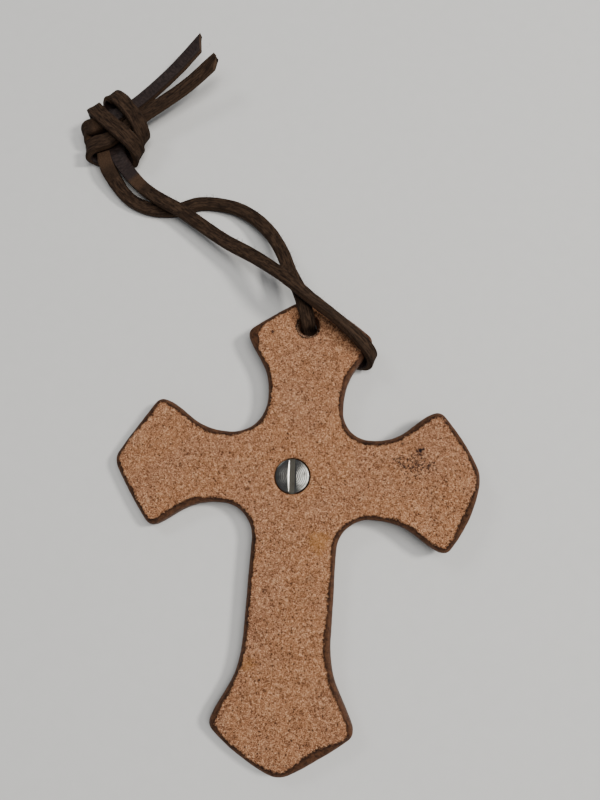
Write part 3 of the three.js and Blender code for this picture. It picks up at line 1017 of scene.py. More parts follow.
class Nodes:
    """A short way to lay out a material's nodes."""

    def __init__(self, name: str) -> None:
        """Start a material.

        Args:
            name: the material's name.
        """
        self.material = bpy.data.materials.new(name)
        self.material.use_nodes = True
        self.tree = self.material.node_tree
        self.shader = self.tree.nodes["Principled BSDF"]
        self.place = self.tree.nodes.new("ShaderNodeTexCoord").outputs["Object"]

    def link(self, source: Socket, target: Socket) -> None:
        """Join an output to an input."""
        self.tree.links.new(source, target)

    def number(self, name: str) -> Socket:
        """A number kept on the mesh's points.

        Args:
            name: the number's name.

        Returns:
            The number.
        """
        node = self.tree.nodes.new("ShaderNodeAttribute")
        node.attribute_name = name
        return node.outputs["Fac"]

    def noise(
        self, size: float, detail: float = 3.0, rough: float = 0.55, twist: float = 0.0,
        stretch: Triple | None = None, source: Socket | None = None,
    ) -> Socket:
        """Noise of a given size.

        Args:
            size: its coarseness in millimetres.
            detail: how many finer layers it has.
            rough: how strong those are.
            twist: how much it is distorted.
            stretch: its scale along each axis, where it isn't even.
            source: the place it is read at, where that isn't the piece's own.

        Returns:
            The noise's strength.
        """
        node = self.tree.nodes.new("ShaderNodeTexNoise")
        node.inputs["Scale"].default_value = PER_METRE / size
        node.inputs["Detail"].default_value = detail
        node.inputs["Roughness"].default_value = rough
        node.inputs["Distortion"].default_value = twist
        source = source or self.place
        if stretch is not None:
            mapping = self.tree.nodes.new("ShaderNodeMapping")
            mapping.inputs["Scale"].default_value = stretch
            self.link(source, mapping.inputs["Vector"])
            source = mapping.outputs["Vector"]
        self.link(source, node.inputs["Vector"])
        return node.outputs["Fac"]

    def cells(self, size: float, feature: str = "F1") -> tuple[Socket, Socket]:
        """Scattered cells.

        Args:
            size: their size in millimetres.
            feature: which of the pattern's measures is used.

        Returns:
            The distance to each cell's point, in cells, and the cell's own random colour.
        """
        node = self.tree.nodes.new("ShaderNodeTexVoronoi")
        node.feature = feature
        node.inputs["Scale"].default_value = PER_METRE / size
        self.link(self.place, node.inputs["Vector"])
        return node.outputs["Distance"], node.outputs["Color"]

    def separate(self, colour: Socket) -> Socket:
        """The red share of a colour.

        Args:
            colour: the colour.

        Returns:
            Its red share.
        """
        node = self.tree.nodes.new("ShaderNodeSeparateColor")
        self.link(colour, node.inputs["Color"])
        return node.outputs["Red"]

    def combine(self, *parts: Socket) -> Socket:
        """Three numbers as one place.

        Args:
            parts: the three numbers.

        Returns:
            The place.
        """
        node = self.tree.nodes.new("ShaderNodeCombineXYZ")
        for part, target in zip(parts, node.inputs):
            self.link(part, target)
        return node.outputs["Vector"]

    def from_axis(self, x: float, y: float) -> Socket:
        """The distance in millimetres from an upright line through x and y.

        Args:
            x: the line's x in millimetres.
            y: its y.

        Returns:
            The distance.
        """
        mapping = self.tree.nodes.new("ShaderNodeMapping")
        mapping.inputs["Location"].default_value = (-x, -y, 0.0)
        mapping.inputs["Scale"].default_value = (PER_METRE, PER_METRE, 0.0)
        self.link(self.place, mapping.inputs["Vector"])
        length = self.tree.nodes.new("ShaderNodeVectorMath")
        length.operation = "LENGTH"
        self.link(mapping.outputs["Vector"], length.inputs[0])
        return length.outputs["Value"]

    def math(self, kind: str, first: object, second: object = 0.0, clamp: bool = False) -> Socket:
        """A sum on two numbers or outputs.

        Args:
            kind: the sum's kind.
            first: a number or an output.
            second: likewise.
            clamp: whether the result is held between 0 and 1.

        Returns:
            The result.
        """
        node = self.tree.nodes.new("ShaderNodeMath")
        node.operation = kind
        node.use_clamp = clamp
        for i, value in enumerate((first, second)):
            if isinstance(value, (int, float)):
                node.inputs[i].default_value = value
            else:
                self.link(value, node.inputs[i])
        return node.outputs["Value"]

    def times(self, first: object, second: object, clamp: bool = False) -> Socket:
        """One times the other."""
        return self.math("MULTIPLY", first, second, clamp)

    def plus(self, first: object, second: object, clamp: bool = False) -> Socket:
        """One and the other together."""
        return self.math("ADD", first, second, clamp)

    def minus(self, first: object, second: object) -> Socket:
        """The first less the second."""
        return self.math("SUBTRACT", first, second)

    def larger(self, first: object, second: object) -> Socket:
        """The larger of the two."""
        return self.math("MAXIMUM", first, second)

    def step(self, source: Socket, low: float, high: float) -> Socket:
        """A smooth step from 0 at low to 1 at high, which may be the smaller of the two.

        Args:
            source: the number that is read.
            low: where the step is 0.
            high: where the step is 1.

        Returns:
            The step.
        """
        node = self.tree.nodes.new("ShaderNodeMapRange")
        node.interpolation_type = "SMOOTHSTEP"
        start, end, down, up = (low, high, 0.0, 1.0) if low < high else (high, low, 1.0, 0.0)
        node.inputs["From Min"].default_value = start
        node.inputs["From Max"].default_value = end
        node.inputs["To Min"].default_value = down
        node.inputs["To Max"].default_value = up
        self.link(source, node.inputs["Value"])
        return node.outputs["Result"]

    def span(self, source: Socket, low: float, high: float) -> Socket:
        """A number from 0 to 1 moved to the span from low to high.

        Args:
            source: the number.
            low: what 0 becomes.
            high: what 1 becomes.

        Returns:
            The moved number.
        """
        node = self.tree.nodes.new("ShaderNodeMapRange")
        node.inputs["To Min"].default_value = low
        node.inputs["To Max"].default_value = high
        self.link(source, node.inputs["Value"])
        return node.outputs["Result"]

    def mix(self, share: object, first: object, second: object) -> Socket:
        """A mix of two colours, each an output or three numbers.

        Args:
            share: how much of the second shows.
            first: a colour.
            second: the other.

        Returns:
            The mixed colour.
        """
        node = self.tree.nodes.new("ShaderNodeMix")
        node.data_type = "RGBA"
        self.link(share, node.inputs["Factor"])
        for label, value in (("A", first), ("B", second)):
            socket = next(s for s in node.inputs if s.name == label and s.type == "RGBA")
            if isinstance(value, tuple):
                socket.default_value = (*value, 1.0)
            else:
                self.link(value, socket)
        return next(s for s in node.outputs if s.type == "RGBA")

    def cover(self, under: object, over: object, share: Socket, most: float) -> Socket:
        """A colour laid over another.

        Args:
            under: the colour beneath, an output or three numbers.
            over: the colour laid on it, likewise.
            share: where it lies, from 0 to 1.
            most: how much of it shows there.

        Returns:
            The colour.
        """
        return self.mix(self.times(share, most), under, over)

    def bump(self, height: Socket, strength: float, depth: float) -> None:
        """Add relief, after what is there.

        Args:
            height: the relief's height from 0 to 1.
            strength: how much of it shows.
            depth: its depth in millimetres.
        """
        node = self.tree.nodes.new("ShaderNodeBump")
        node.inputs["Strength"].default_value = strength
        node.inputs["Distance"].default_value = depth * MM
        self.link(height, node.inputs["Height"])
        normal = self.shader.inputs["Normal"]
        if normal.links:
            self.link(normal.links[0].from_socket, node.inputs["Normal"])
        self.link(node.outputs["Normal"], normal)


@dataclass(frozen=True)
class SuedeFinish:
    """Raw hide with dyed, burnished edges and a dyed grain side, its nap with painted shade in the fibres'
    hollows and painted highlight on their tops.
    """

    base: Triple = (0.42, 0.19, 0.095)
    warm: Triple = (0.455, 0.2, 0.091)
    # light is a painted highlight on the nap's fibre tops; dark is both the nap's darker patches and painted
    # shade in the hollows between its fibres
    light: Triple = (0.88, 0.52, 0.29)
    dark: Triple = (0.075, 0.026, 0.012)
    pore: Triple = (0.055, 0.02, 0.011)
    dye: Triple = (0.015, 0.0058, 0.0034)
    dye_light: Triple = (0.085, 0.033, 0.015)
    wall: Triple = (0.105, 0.044, 0.02)
    stain: Triple = (0.40, 0.165, 0.03)
    spot: Triple = (0.085, 0.033, 0.018)
    ink: Triple = (0.006, 0.006, 0.011)
    grain_side: Triple = (0.10, 0.04, 0.02)
    patch_share: float = 0.3
    hollow_shade_share: float = 0.95
    tip_highlight_share: float = 0.8
    pore_share: float = 0.8
    thread_share: float = 0.9
    cloud_share: float = 0.2
    speck_share: float = 0.85
    ink_share: float = 0.95
    dye_share: float = 0.97
    dye_ragged: float = 2.2
    rough: float = 0.92
    polish: float = 0.36
    gloss: float = 0.18
    tamed: float = 0.75
    nap_depth: float = 0.8
    pore_depth: float = 0.35
    pebble_depth: float = 0.08

    def nap(self, nodes: Nodes) -> tuple[Socket, Socket]:
        """The suede's colour: its own tones, with painted shade in the fibres' hollows and painted highlight
        on their tops.

        Args:
            nodes: the material's nodes.

        Returns:
            The colour and the height of its fibres.
        """
        broad = nodes.noise(13.0, 3.0, 0.6)
        clumps = nodes.noise(1.5, 4.0, 0.7, 0.8)
        fibres = nodes.noise(0.55, 4.0, 0.7, 1.2)
        fine = nodes.noise(0.27, 3.0, 0.7, 1.0)
        height = nodes.plus(nodes.times(fibres, 0.5), nodes.times(fine, 0.5))
        height = nodes.plus(height, nodes.times(nodes.minus(clumps, 0.5), 0.2))
        colour = nodes.mix(nodes.step(broad, 0.38, 0.62), self.base, self.warm)
        patches = nodes.step(nodes.noise(3.6, 4.0, 0.65, 0.5), 0.52, 0.68)
        colour = nodes.cover(colour, self.dark, patches, self.patch_share)
        # Painted shade where the fibres' height is low, in their hollows, and painted highlight where it is
        # high, on their tops
        colour = nodes.cover(colour, self.dark, nodes.step(height, 0.495, 0.425), self.hollow_shade_share)
        colour = nodes.cover(colour, self.light, nodes.step(height, 0.52, 0.59), self.tip_highlight_share)
        return colour, height

    def pores(self, nodes: Nodes) -> Socket:
        """Small scattered pits and short dark threads, from 0 to 1.

        Args:
            nodes: the material's nodes.

        Returns:
            How much of a pit or thread each place is.
        """
        distance, random_colour = nodes.cells(1.05)
        chosen = nodes.step(nodes.separate(random_colour), 0.58, 0.64)
        pits = nodes.times(nodes.step(distance, 0.3, 0.12), chosen)
        threads = nodes.step(nodes.noise(1.1, 3.0, 0.6, 2.6), 0.345, 0.285)
        return nodes.larger(pits, nodes.times(threads, self.thread_share))

    def marks(self, nodes: Nodes, colour: Socket, height: Socket) -> Socket:
        """Lay the stains, spots and ink over the suede.

        Args:
            nodes: the material's nodes.
            colour: the suede's colour.
            height: the height of its fibres.

        Returns:
            The colour with them.
        """
        stain = nodes.times(nodes.number("stain"), nodes.span(height, 0.1, 1.0))
        colour = nodes.mix(stain, colour, self.stain)
        spot = nodes.times(nodes.number("spot"), nodes.span(height, 1.1, 0.5), True)
        colour = nodes.mix(spot, colour, self.spot)
        cloud = nodes.times(nodes.number("cloud"), self.cloud_share)
        specks = nodes.step(nodes.plus(nodes.noise(0.42, 2.0, 0.6, 0.6), cloud), 0.7, 0.74)
        ink = nodes.larger(nodes.times(specks, self.speck_share), nodes.number("ink"))
        return nodes.cover(colour, self.ink, ink, self.ink_share)

    def dyed(self, nodes: Nodes, colour: Socket) -> Socket:
        """Dye the rims and the walls.

        Args:
            nodes: the material's nodes.
            colour: the suede's colour.

        Returns:
            The colour with them.
        """
        shades = nodes.step(nodes.noise(1.6, 4.0, 0.7), 0.42, 0.72)
        dye = nodes.mix(shades, self.dye, self.dye_light)
        ragged = nodes.times(nodes.minus(nodes.noise(0.8, 5.0, 0.75, 0.6), 0.5), self.dye_ragged)
        beyond = nodes.plus(nodes.number("bleed"), ragged)
        outer = nodes.larger(nodes.step(beyond, -0.3, -0.85), nodes.step(nodes.number("side"), 0.8, 0.3))
        streaks = nodes.step(nodes.noise(1.1, 4.0, 0.7, 0.4, (1.0, 1.0, 2.4)), 0.32, 0.66)
        dye = nodes.mix(nodes.times(outer, nodes.span(streaks, 0.05, 1.0)), dye, self.wall)
        return nodes.cover(colour, dye, nodes.step(beyond, 0.3, -0.3), self.dye_share)

    def material(self) -> bpy.types.Material:
        """Lay out the material.

        Returns:
            The material.
        """
        nodes = Nodes("suede_and_edge")
        colour, height = self.nap(nodes)
        pores = self.pores(nodes)
        colour = nodes.cover(colour, self.pore, pores, self.pore_share)
        colour = self.dyed(nodes, self.marks(nodes, colour, height))
        grain = nodes.step(nodes.number("side"), -0.2, -0.8)
        pebble, _ = nodes.cells(0.85, "SMOOTH_F1")
        grain_colour = nodes.mix(nodes.step(pebble, 0.2, 0.7), self.grain_side, self.dye)
        nodes.link(nodes.mix(grain, colour, grain_colour), nodes.shader.inputs["Base Color"])
        smooth = nodes.larger(grain, nodes.step(nodes.number("rim"), 1.3, 0.4))
        rough = nodes.minus(self.rough, nodes.times(smooth, self.polish))
        nodes.link(rough, nodes.shader.inputs["Roughness"])
        nodes.shader.inputs["Specular IOR Level"].default_value = self.gloss
        tamed = nodes.minus(1.0, nodes.times(smooth, self.tamed))
        deep = nodes.minus(height, nodes.times(pores, self.pore_depth))
        nodes.bump(nodes.times(deep, tamed), 1.0, self.nap_depth)
        nodes.bump(nodes.times(pebble, grain), 0.5, self.pebble_depth)
        return nodes.material


@dataclass(frozen=True)
class SteelFinish:
    """Turned, plated steel with fine rings about its middle, dull wear, and painted shade in the driver
    slot.
    """

    name: str
    x: float
    y: float
    colour: Triple = (0.18, 0.176, 0.16)
    # The darker colour for both the worn patches and the painted shade in the slot
    tarnish_and_shade: Triple = (0.05, 0.045, 0.034)
    pitch: float = 0.27
    fine_rings: float = 2.65
    worn_share: float = 0.55
    slot_shade_share: float = 0.85
    ring_depth: float = 0.006
    streak_depth: float = 0.02

    def material(self) -> bpy.types.Material:
        """Lay out the material.

        Returns:
            The material.
        """
        nodes = Nodes(self.name)
        distance = nodes.from_axis(self.x, self.y)
        patches = nodes.noise(2.2, 4.0, 0.6)
        streaks = nodes.noise(0.35, 3.0, 0.6, 0.0, (1.0, 0.25, 1.0))
        sunk = nodes.number("sunk")
        colour = nodes.cover(self.colour, self.tarnish_and_shade, nodes.step(patches, 0.5, 0.68), self.worn_share)
        # Painted shade: the deeper a point lies in the slot, the darker its colour
        colour = nodes.cover(colour, self.tarnish_and_shade, sunk, self.slot_shade_share)
        nodes.link(colour, nodes.shader.inputs["Base Color"])
        nodes.shader.inputs["Metallic"].default_value = 1.0
        rough = nodes.plus(nodes.span(patches, 0.08, 0.2), nodes.times(sunk, 0.2))
        nodes.link(rough, nodes.shader.inputs["Roughness"])
        rings = nodes.math("SINE", nodes.times(distance, 2 * math.pi / self.pitch))
        finer = nodes.math("SINE", nodes.times(distance, 2 * math.pi * self.fine_rings / self.pitch))
        turned = nodes.plus(nodes.times(rings, 0.6), nodes.times(finer, 0.3))
        nodes.bump(turned, 0.25, self.ring_depth)
        nodes.bump(streaks, 0.25, self.streak_depth)
        return nodes.material


@dataclass(frozen=True)
class LaceFinish:
    """Dark dyed lace leather: fibrous flesh side, paler cut edges and a smooth grain side."""

    flesh: Triple = (0.0085, 0.0042, 0.0024)
    flesh_light: Triple = (0.054, 0.031, 0.018)
    edge: Triple = (0.018, 0.0085, 0.005)
    edge_light: Triple = (0.088, 0.050, 0.028)
    grain: Triple = (0.0098, 0.0056, 0.0048)
    grain_light: Triple = (0.030, 0.019, 0.0165)
    mottle_share: float = 0.45
    wear_share: float = 0.4
    glint_share: float = 0.6
    cut_share: float = 0.55
    rough: float = 0.88
    gloss: float = 0.12
    smoothed: float = 0.85
    fibre_depth: float = 0.16
    thread_depth: float = 0.06
    crease_depth: float = 0.1

    def material(self) -> bpy.types.Material:
        """Lay out the material.

        Returns:
            The material.
        """
        nodes = Nodes("lace_leather")
        along = nodes.combine(nodes.number("run"), nodes.number("across"), nodes.number("side"))
        fibres = nodes.noise(0.45, 5.0, 0.68, 0.8, (0.16, 1.0, 0.35), along)
        threads = nodes.noise(0.2, 3.0, 0.6, 0.3, (0.12, 1.0, 0.3), along)
        mottle = nodes.noise(3.0, 3.0, 0.6)
        creases = nodes.noise(0.5, 4.0, 0.6, 0.6, (1.0, 0.35, 0.4), along)
        flesh = nodes.mix(nodes.step(fibres, 0.36, 0.66), self.flesh, self.flesh_light)
        flesh = nodes.cover(flesh, self.flesh, nodes.step(mottle, 0.5, 0.7), self.mottle_share)
        edge = nodes.mix(nodes.step(threads, 0.35, 0.65), self.edge, self.edge_light)
        grain = nodes.mix(nodes.step(creases, 0.35, 0.7), self.grain, self.grain_light)
        grain = nodes.cover(grain, self.grain_light, nodes.step(mottle, 0.45, 0.75), self.wear_share)
        # Painted highlights: small pale specks laid on the grain side's colour
        glints = nodes.step(nodes.noise(0.3, 3.0, 0.7, 0.5), 0.62, 0.7)
        grain = nodes.cover(grain, self.edge_light, glints, self.glint_share)
        side = nodes.number("side")
        is_flesh = nodes.step(side, 0.35, 0.85)
        is_grain = nodes.step(side, -0.35, -0.8)
        colour = nodes.mix(is_flesh, edge, flesh)
        colour = nodes.mix(is_grain, colour, grain)
        colour = nodes.cover(colour, self.edge_light, nodes.number("pale"), self.cut_share)
        nodes.link(colour, nodes.shader.inputs["Base Color"])
        gloss = nodes.times(is_grain, nodes.span(creases, 0.3, 0.5))
        nodes.link(nodes.minus(self.rough, gloss), nodes.shader.inputs["Roughness"])
        nodes.shader.inputs["Specular IOR Level"].default_value = self.gloss
        coarse = nodes.minus(1.0, nodes.times(is_grain, self.smoothed))
        nodes.bump(nodes.times(fibres, coarse), 0.9, self.fibre_depth)
        nodes.bump(nodes.times(threads, coarse), 0.7, self.thread_depth)
        nodes.bump(nodes.times(creases, is_grain), 0.7, self.crease_depth)
        return nodes.material


@dataclass(frozen=True)
class FibreFinish:
    """Loose leather fibres, each a little lighter or darker."""

    name: str
    dark: Triple
    light: Triple

    def material(self) -> bpy.types.Material:
        """Lay out the material.

        Returns:
            The material.
        """
        nodes = Nodes(self.name)
        tint = nodes.number("tint")
        varied = nodes.plus(tint, nodes.span(nodes.noise(0.8, 2.0), -0.25, 0.25), True)
        nodes.link(nodes.mix(varied, self.dark, self.light), nodes.shader.inputs["Base Color"])
        nodes.link(nodes.span(tint, 0.75, 0.9), nodes.shader.inputs["Roughness"])
        nodes.shader.inputs["Specular IOR Level"].default_value = 0.3
        nodes.bump(nodes.noise(0.12, 2.0), 0.3, 0.02)
        return nodes.material


@dataclass(frozen=True)
class FloorFinish:
    """A plain pale matt surface."""

    colour: Triple = (0.70, 0.69, 0.66)
    speck: Triple = (0.66, 0.65, 0.62)

    def material(self) -> bpy.types.Material:
        """Lay out the material.

        Returns:
            The material.
        """
        nodes = Nodes("pale_surface")
        colour = nodes.mix(nodes.noise(4.0, 4.0), self.colour, self.speck)
        nodes.link(colour, nodes.shader.inputs["Base Color"])
        nodes.shader.inputs["Roughness"].default_value = 0.9
        nodes.shader.inputs["Specular IOR Level"].default_value = 0.15
        return nodes.material


@dataclass
class BindingScrew:
    """The slotted screw in its seat and the headed tube under it that takes its shank."""

    sizes: ScrewSizes
    place: PlatePlace
    sides: int = 160
    ring_step: float = 0.09
    ring_height: float = 0.011
    ring_pitch: float = 0.5
    flare_depth: float = 0.2
    flare_width: float = 0.42
    dome: float = 0.2
    dome_power: float = 2.4
    ease_steps: int = 5
    shank_ease: float = 0.2
    cutter_lift: float = 0.02
    cutter_reach: float = 1.4
    sharp_angle: float = 28.0

    def lathe(self, surface: Surface, profile: Sequence[tuple[float, float]]) -> None:
        """Turn a closed profile about the screw's line.

        Args:
            surface: takes the points and faces.
            profile: radius and height, from the middle of one end to the middle of the other.
        """
        angles = np.arange(self.sides) * 2 * math.pi / self.sides
        rows = []
        for radius, height in profile:
            if radius == 0:
                rows.append(surface.add(self.place.place([[self.sizes.x, self.sizes.y, height]])))
                continue
            ring = np.column_stack([
                self.sizes.x + radius * np.cos(angles),
                self.sizes.y + radius * np.sin(angles),
                np.full(self.sides, height),
            ])
            rows.append(surface.add(self.place.place(ring)))
        for first, second in zip(rows, rows[1:]):
            if len(first) == 1:
                surface.faces += [
                    (int(first[0]), int(second[i - 1]), int(second[i])) for i in range(self.sides)
                ]
            elif len(second) == 1:
                surface.faces += [
                    (int(first[i]), int(first[i - 1]), int(second[0])) for i in range(self.sides)
                ]
            else:
                surface.band(second, first)

    def head_profile(self) -> list[tuple[float, float]]:
        """The screw's profile, its top with turned rings.

        Returns:
            Rows of radius and height, from the top's middle to the shank's end.
        """
        sizes = self.sizes
        flat = sizes.head_radius - sizes.head_ease
        profile = [(0.0, sizes.head_top)]
        for i in range(1, int(flat / self.ring_step)):
            radius = i * self.ring_step
            ring = self.ring_height * math.sin(2 * math.pi * radius / self.ring_pitch)
            profile.append((radius, sizes.head_top + ring - self.dome * (radius / flat) ** self.dome_power))
        for i in range(self.ease_steps + 1):
            turn = math.pi / 2 * i / self.ease_steps
            profile.append((
                flat + sizes.head_ease * math.sin(turn),
                sizes.head_top - self.dome - sizes.head_ease * (1 - math.cos(turn)),
            ))
        profile += [
            (sizes.head_radius, sizes.head_underside),
            (sizes.shank_radius, sizes.head_underside),
            (sizes.shank_radius, sizes.shank_end + self.shank_ease),
            (sizes.shank_radius - self.shank_ease, sizes.shank_end),
            (0.0, sizes.shank_end),
        ]
        return profile

    def slot_cutter(self) -> bpy.types.Object:
        """A long prism for the driver slot, wider at its very top.

        Returns:
            The prism's object, which is used once and removed.
        """
        sizes = self.sizes
        half = sizes.slot_width / 2
        low = sizes.head_top - sizes.slot_depth
        flare = sizes.head_top - self.flare_depth
        level = sizes.head_top + self.cutter_lift
        wide = half + self.flare_width
        section = [
            (-half, low), (half, low), (half, flare), (wide, level), (wide, level + 1.0),
            (-wide, level + 1.0), (-wide, level), (-half, flare),
        ]
        turn = math.radians(sizes.slot_turn)
        across = np.array([math.cos(turn), math.sin(turn)])
        along = np.array([-math.sin(turn), math.cos(turn)])
        reach = sizes.head_radius * self.cutter_reach
        rows = []
        for end in (-1, 1):
            for side, height in section:
                flat = np.array([sizes.x, sizes.y]) + across * side + along * end * reach
                rows.append([flat[0], flat[1], height])
        count = len(section)
        faces = [tuple(range(count)), tuple(range(count, 2 * count))[::-1]]
        faces += [(count + i, count + (i + 1) % count, (i + 1) % count, i) for i in range(count)]
        mesh = bpy.data.meshes.new("slot_cutter")
        mesh.from_pydata((self.place.place(rows) * MM).tolist(), [], faces)
        mesh.update()
        made = bpy.data.objects.new("slot_cutter", mesh)
        bpy.context.scene.collection.objects.link(made)
        return made

    def build_screw(self, finish: SteelFinish) -> bpy.types.Object:
        """Make the slotted screw.

        Args:
            finish: the steel's finish.

        Returns:
            The screw's object.
        """
        surface = Surface()
        self.lathe(surface, self.head_profile())
        made = surface.piece("slotted_screw", finish.material())
        cutter = self.slot_cutter()
        cut = made.modifiers.new("slot", "BOOLEAN")
        cut.operation = "DIFFERENCE"
        cut.solver = "EXACT"
        cut.object = cutter
        bpy.context.view_layer.update()
        seen = made.evaluated_get(bpy.context.evaluated_depsgraph_get())
        mesh = bpy.data.meshes.new_from_object(seen)
        made.modifiers.clear()
        made.data = mesh
        bpy.data.objects.remove(cutter)
        spots = np.array([tuple(point.co) for point in mesh.vertices]) * PER_METRE
        # How deep each point lies below the head's rim, which the finish paints as shade in the slot
        depth = self.sizes.head_top - self.dome - self.place.flat(spots)[:, 2]
        sunk = mesh.attributes.new("sunk", "FLOAT", "POINT")
        sunk.data.foreach_set("value", np.clip(depth / (self.sizes.slot_depth - self.dome), 0, 1))
        mesh.polygons.foreach_set("use_smooth", [True] * len(mesh.polygons))
        mesh.set_sharp_from_angle(angle=math.radians(self.sharp_angle))
        mesh.update()
        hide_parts("screw")
        return made

    def build_post(self, finish: SteelFinish) -> bpy.types.Object:
        """Make the headed tube.

        Args:
            finish: the steel's finish.

        Returns:
            The post's object.
        """
        sizes = self.sizes
        flat = sizes.head_radius - sizes.head_ease
        profile = [(0.0, sizes.shank_end - sizes.gap), (sizes.bore_radius, sizes.shank_end - sizes.gap)]
        profile += [(sizes.bore_radius, sizes.seat_floor), (sizes.post_radius, sizes.seat_floor)]
        profile += [(sizes.post_radius, sizes.post_head_top), (sizes.head_radius, sizes.post_head_top)]
        for i in range(self.ease_steps + 1):
            turn = math.pi / 2 * i / self.ease_steps
            profile.append((
                flat + sizes.head_ease * math.cos(turn),
                sizes.post_head_sunk + sizes.head_ease * (1 - math.sin(turn)),
            ))
        for i in range(int(flat / self.ring_step) - 1, 0, -1):
            radius = i * self.ring_step
            ring = self.ring_height * math.sin(2 * math.pi * radius / self.ring_pitch)
            profile.append((radius, sizes.post_head_sunk + ring))
        profile.append((0.0, sizes.post_head_sunk))
        surface = Surface()
        self.lathe(surface, profile)
        made = surface.piece("screw_post_tube", finish.material())
        made.data.set_sharp_from_angle(angle=math.radians(self.sharp_angle))
        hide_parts("screw_post")
        return made


class LaceLine:
    """The lace's middle line and width direction, through the same points as in the part's source."""

    steps_per_row: int = 24

    def __init__(self, rows: Sequence[tuple[float, ...]], middle: np.ndarray) -> None:
        """Set out the line.

        Args:
            rows: x and y from the screw's middle, the height, then the width direction.
            middle: the screw's middle in the part's frame.
        """
        table = np.array(rows)
        self.points = table[:, :3] + [middle[0], middle[1], 0.0]
        self.widths = table[:, 3:]
        self.last = len(rows) - 1
        self.fine = np.linspace(0, self.last, self.last * self.steps_per_row + 1)
        steps = np.linalg.norm(np.diff(self.at(self.fine), axis=0), axis=1)
        self.runs = np.concatenate([[0], np.cumsum(steps)])

    @property
    def length(self) -> float:
        """The line's length in millimetres."""
        return float(self.runs[-1])

    def at(self, places: np.ndarray) -> np.ndarray:
        """Points on the line, each at a row's number and a share of the way to the next.

        Args:
            places: the row numbers with their shares.

        Returns:
            The points as rows.
        """
        ends = np.vstack([
            2 * self.points[0] - self.points[1], self.points, 2 * self.points[-1] - self.points[-2],
        ])
        index = np.minimum(places.astype(int), self.last - 1)
        share = (places - index)[:, None]
        p0, p1, p2, p3 = (ends[index + k] for k in range(4))
        d0, d1, d2 = (
            np.sqrt(np.linalg.norm(b - a, axis=1))[:, None] for a, b in ((p0, p1), (p1, p2), (p2, p3))
        )
        t1 = ((p1 - p0) / d0 - (p2 - p0) / (d0 + d1) + (p2 - p1) / d1) * d1
        t2 = ((p2 - p1) / d1 - (p3 - p1) / (d1 + d2) + (p3 - p2) / d2) * d1
        cubic = 2 * p1 - 2 * p2 + t1 + t2
        square = -3 * p1 + 3 * p2 - 2 * t1 - t2
        return cubic * share**3 + square * share**2 + t1 * share + p1

    def frames(self, runs: np.ndarray) -> tuple[np.ndarray, ...]:
        """The line at these distances from its start.

        Args:
            runs: distances in millimetres.

        Returns:
            The row numbers, points, tangents, width directions and directions out of the grain side.
        """
        places = np.interp(runs, self.runs, self.fine)
        points = self.at(places)
        small = 1e-3
        after = self.at(np.minimum(places + small, self.last))
        tangents = normalised(after - self.at(np.maximum(places - small, 0)))
        index = np.minimum(places.astype(int), self.last - 1)
        share = (places - index)[:, None]
        widths = self.widths[index] * (1 - share) + self.widths[index + 1] * share
        widths = normalised(widths - tangents * (widths * tangents).sum(axis=1)[:, None])
        return places, points, tangents, widths, np.cross(tangents, widths)


@dataclass
class Fibre:
    """One loose fibre: its root, the way it leaves, the way it bends, its length and thickness."""

    root: np.ndarray
    out: np.ndarray
    bend: np.ndarray
    length: float
    thick: float
    tint: float

    def add(self, surface: Surface, joints: int = 5) -> None:
        """Add the fibre as a thin three-sided taper.

        Args:
            surface: takes its points and faces.
            joints: how many rings it has.
        """
        previous = None
        for i in range(joints):
            share = i / (joints - 1)
            centre = self.root + self.out * self.length * share + self.bend * self.length * share**2
            way = self.out + 2 * self.bend * share
            way = way / np.linalg.norm(way)
            side = np.cross(way, [0.31, 0.52, 0.79])
            side = side / np.linalg.norm(side)
            up = np.cross(way, side)
            radius = self.thick / 2 * (1 - 0.8 * share)
            turns = [0, 2 * math.pi / 3, 4 * math.pi / 3]
            ring = np.array([centre + (side * math.cos(t) + up * math.sin(t)) * radius for t in turns])
            index = surface.add(ring, tint=self.tint)
            if previous is not None:
                surface.band(previous, index)
            previous = index
        surface.faces.append(tuple(int(i) for i in previous))


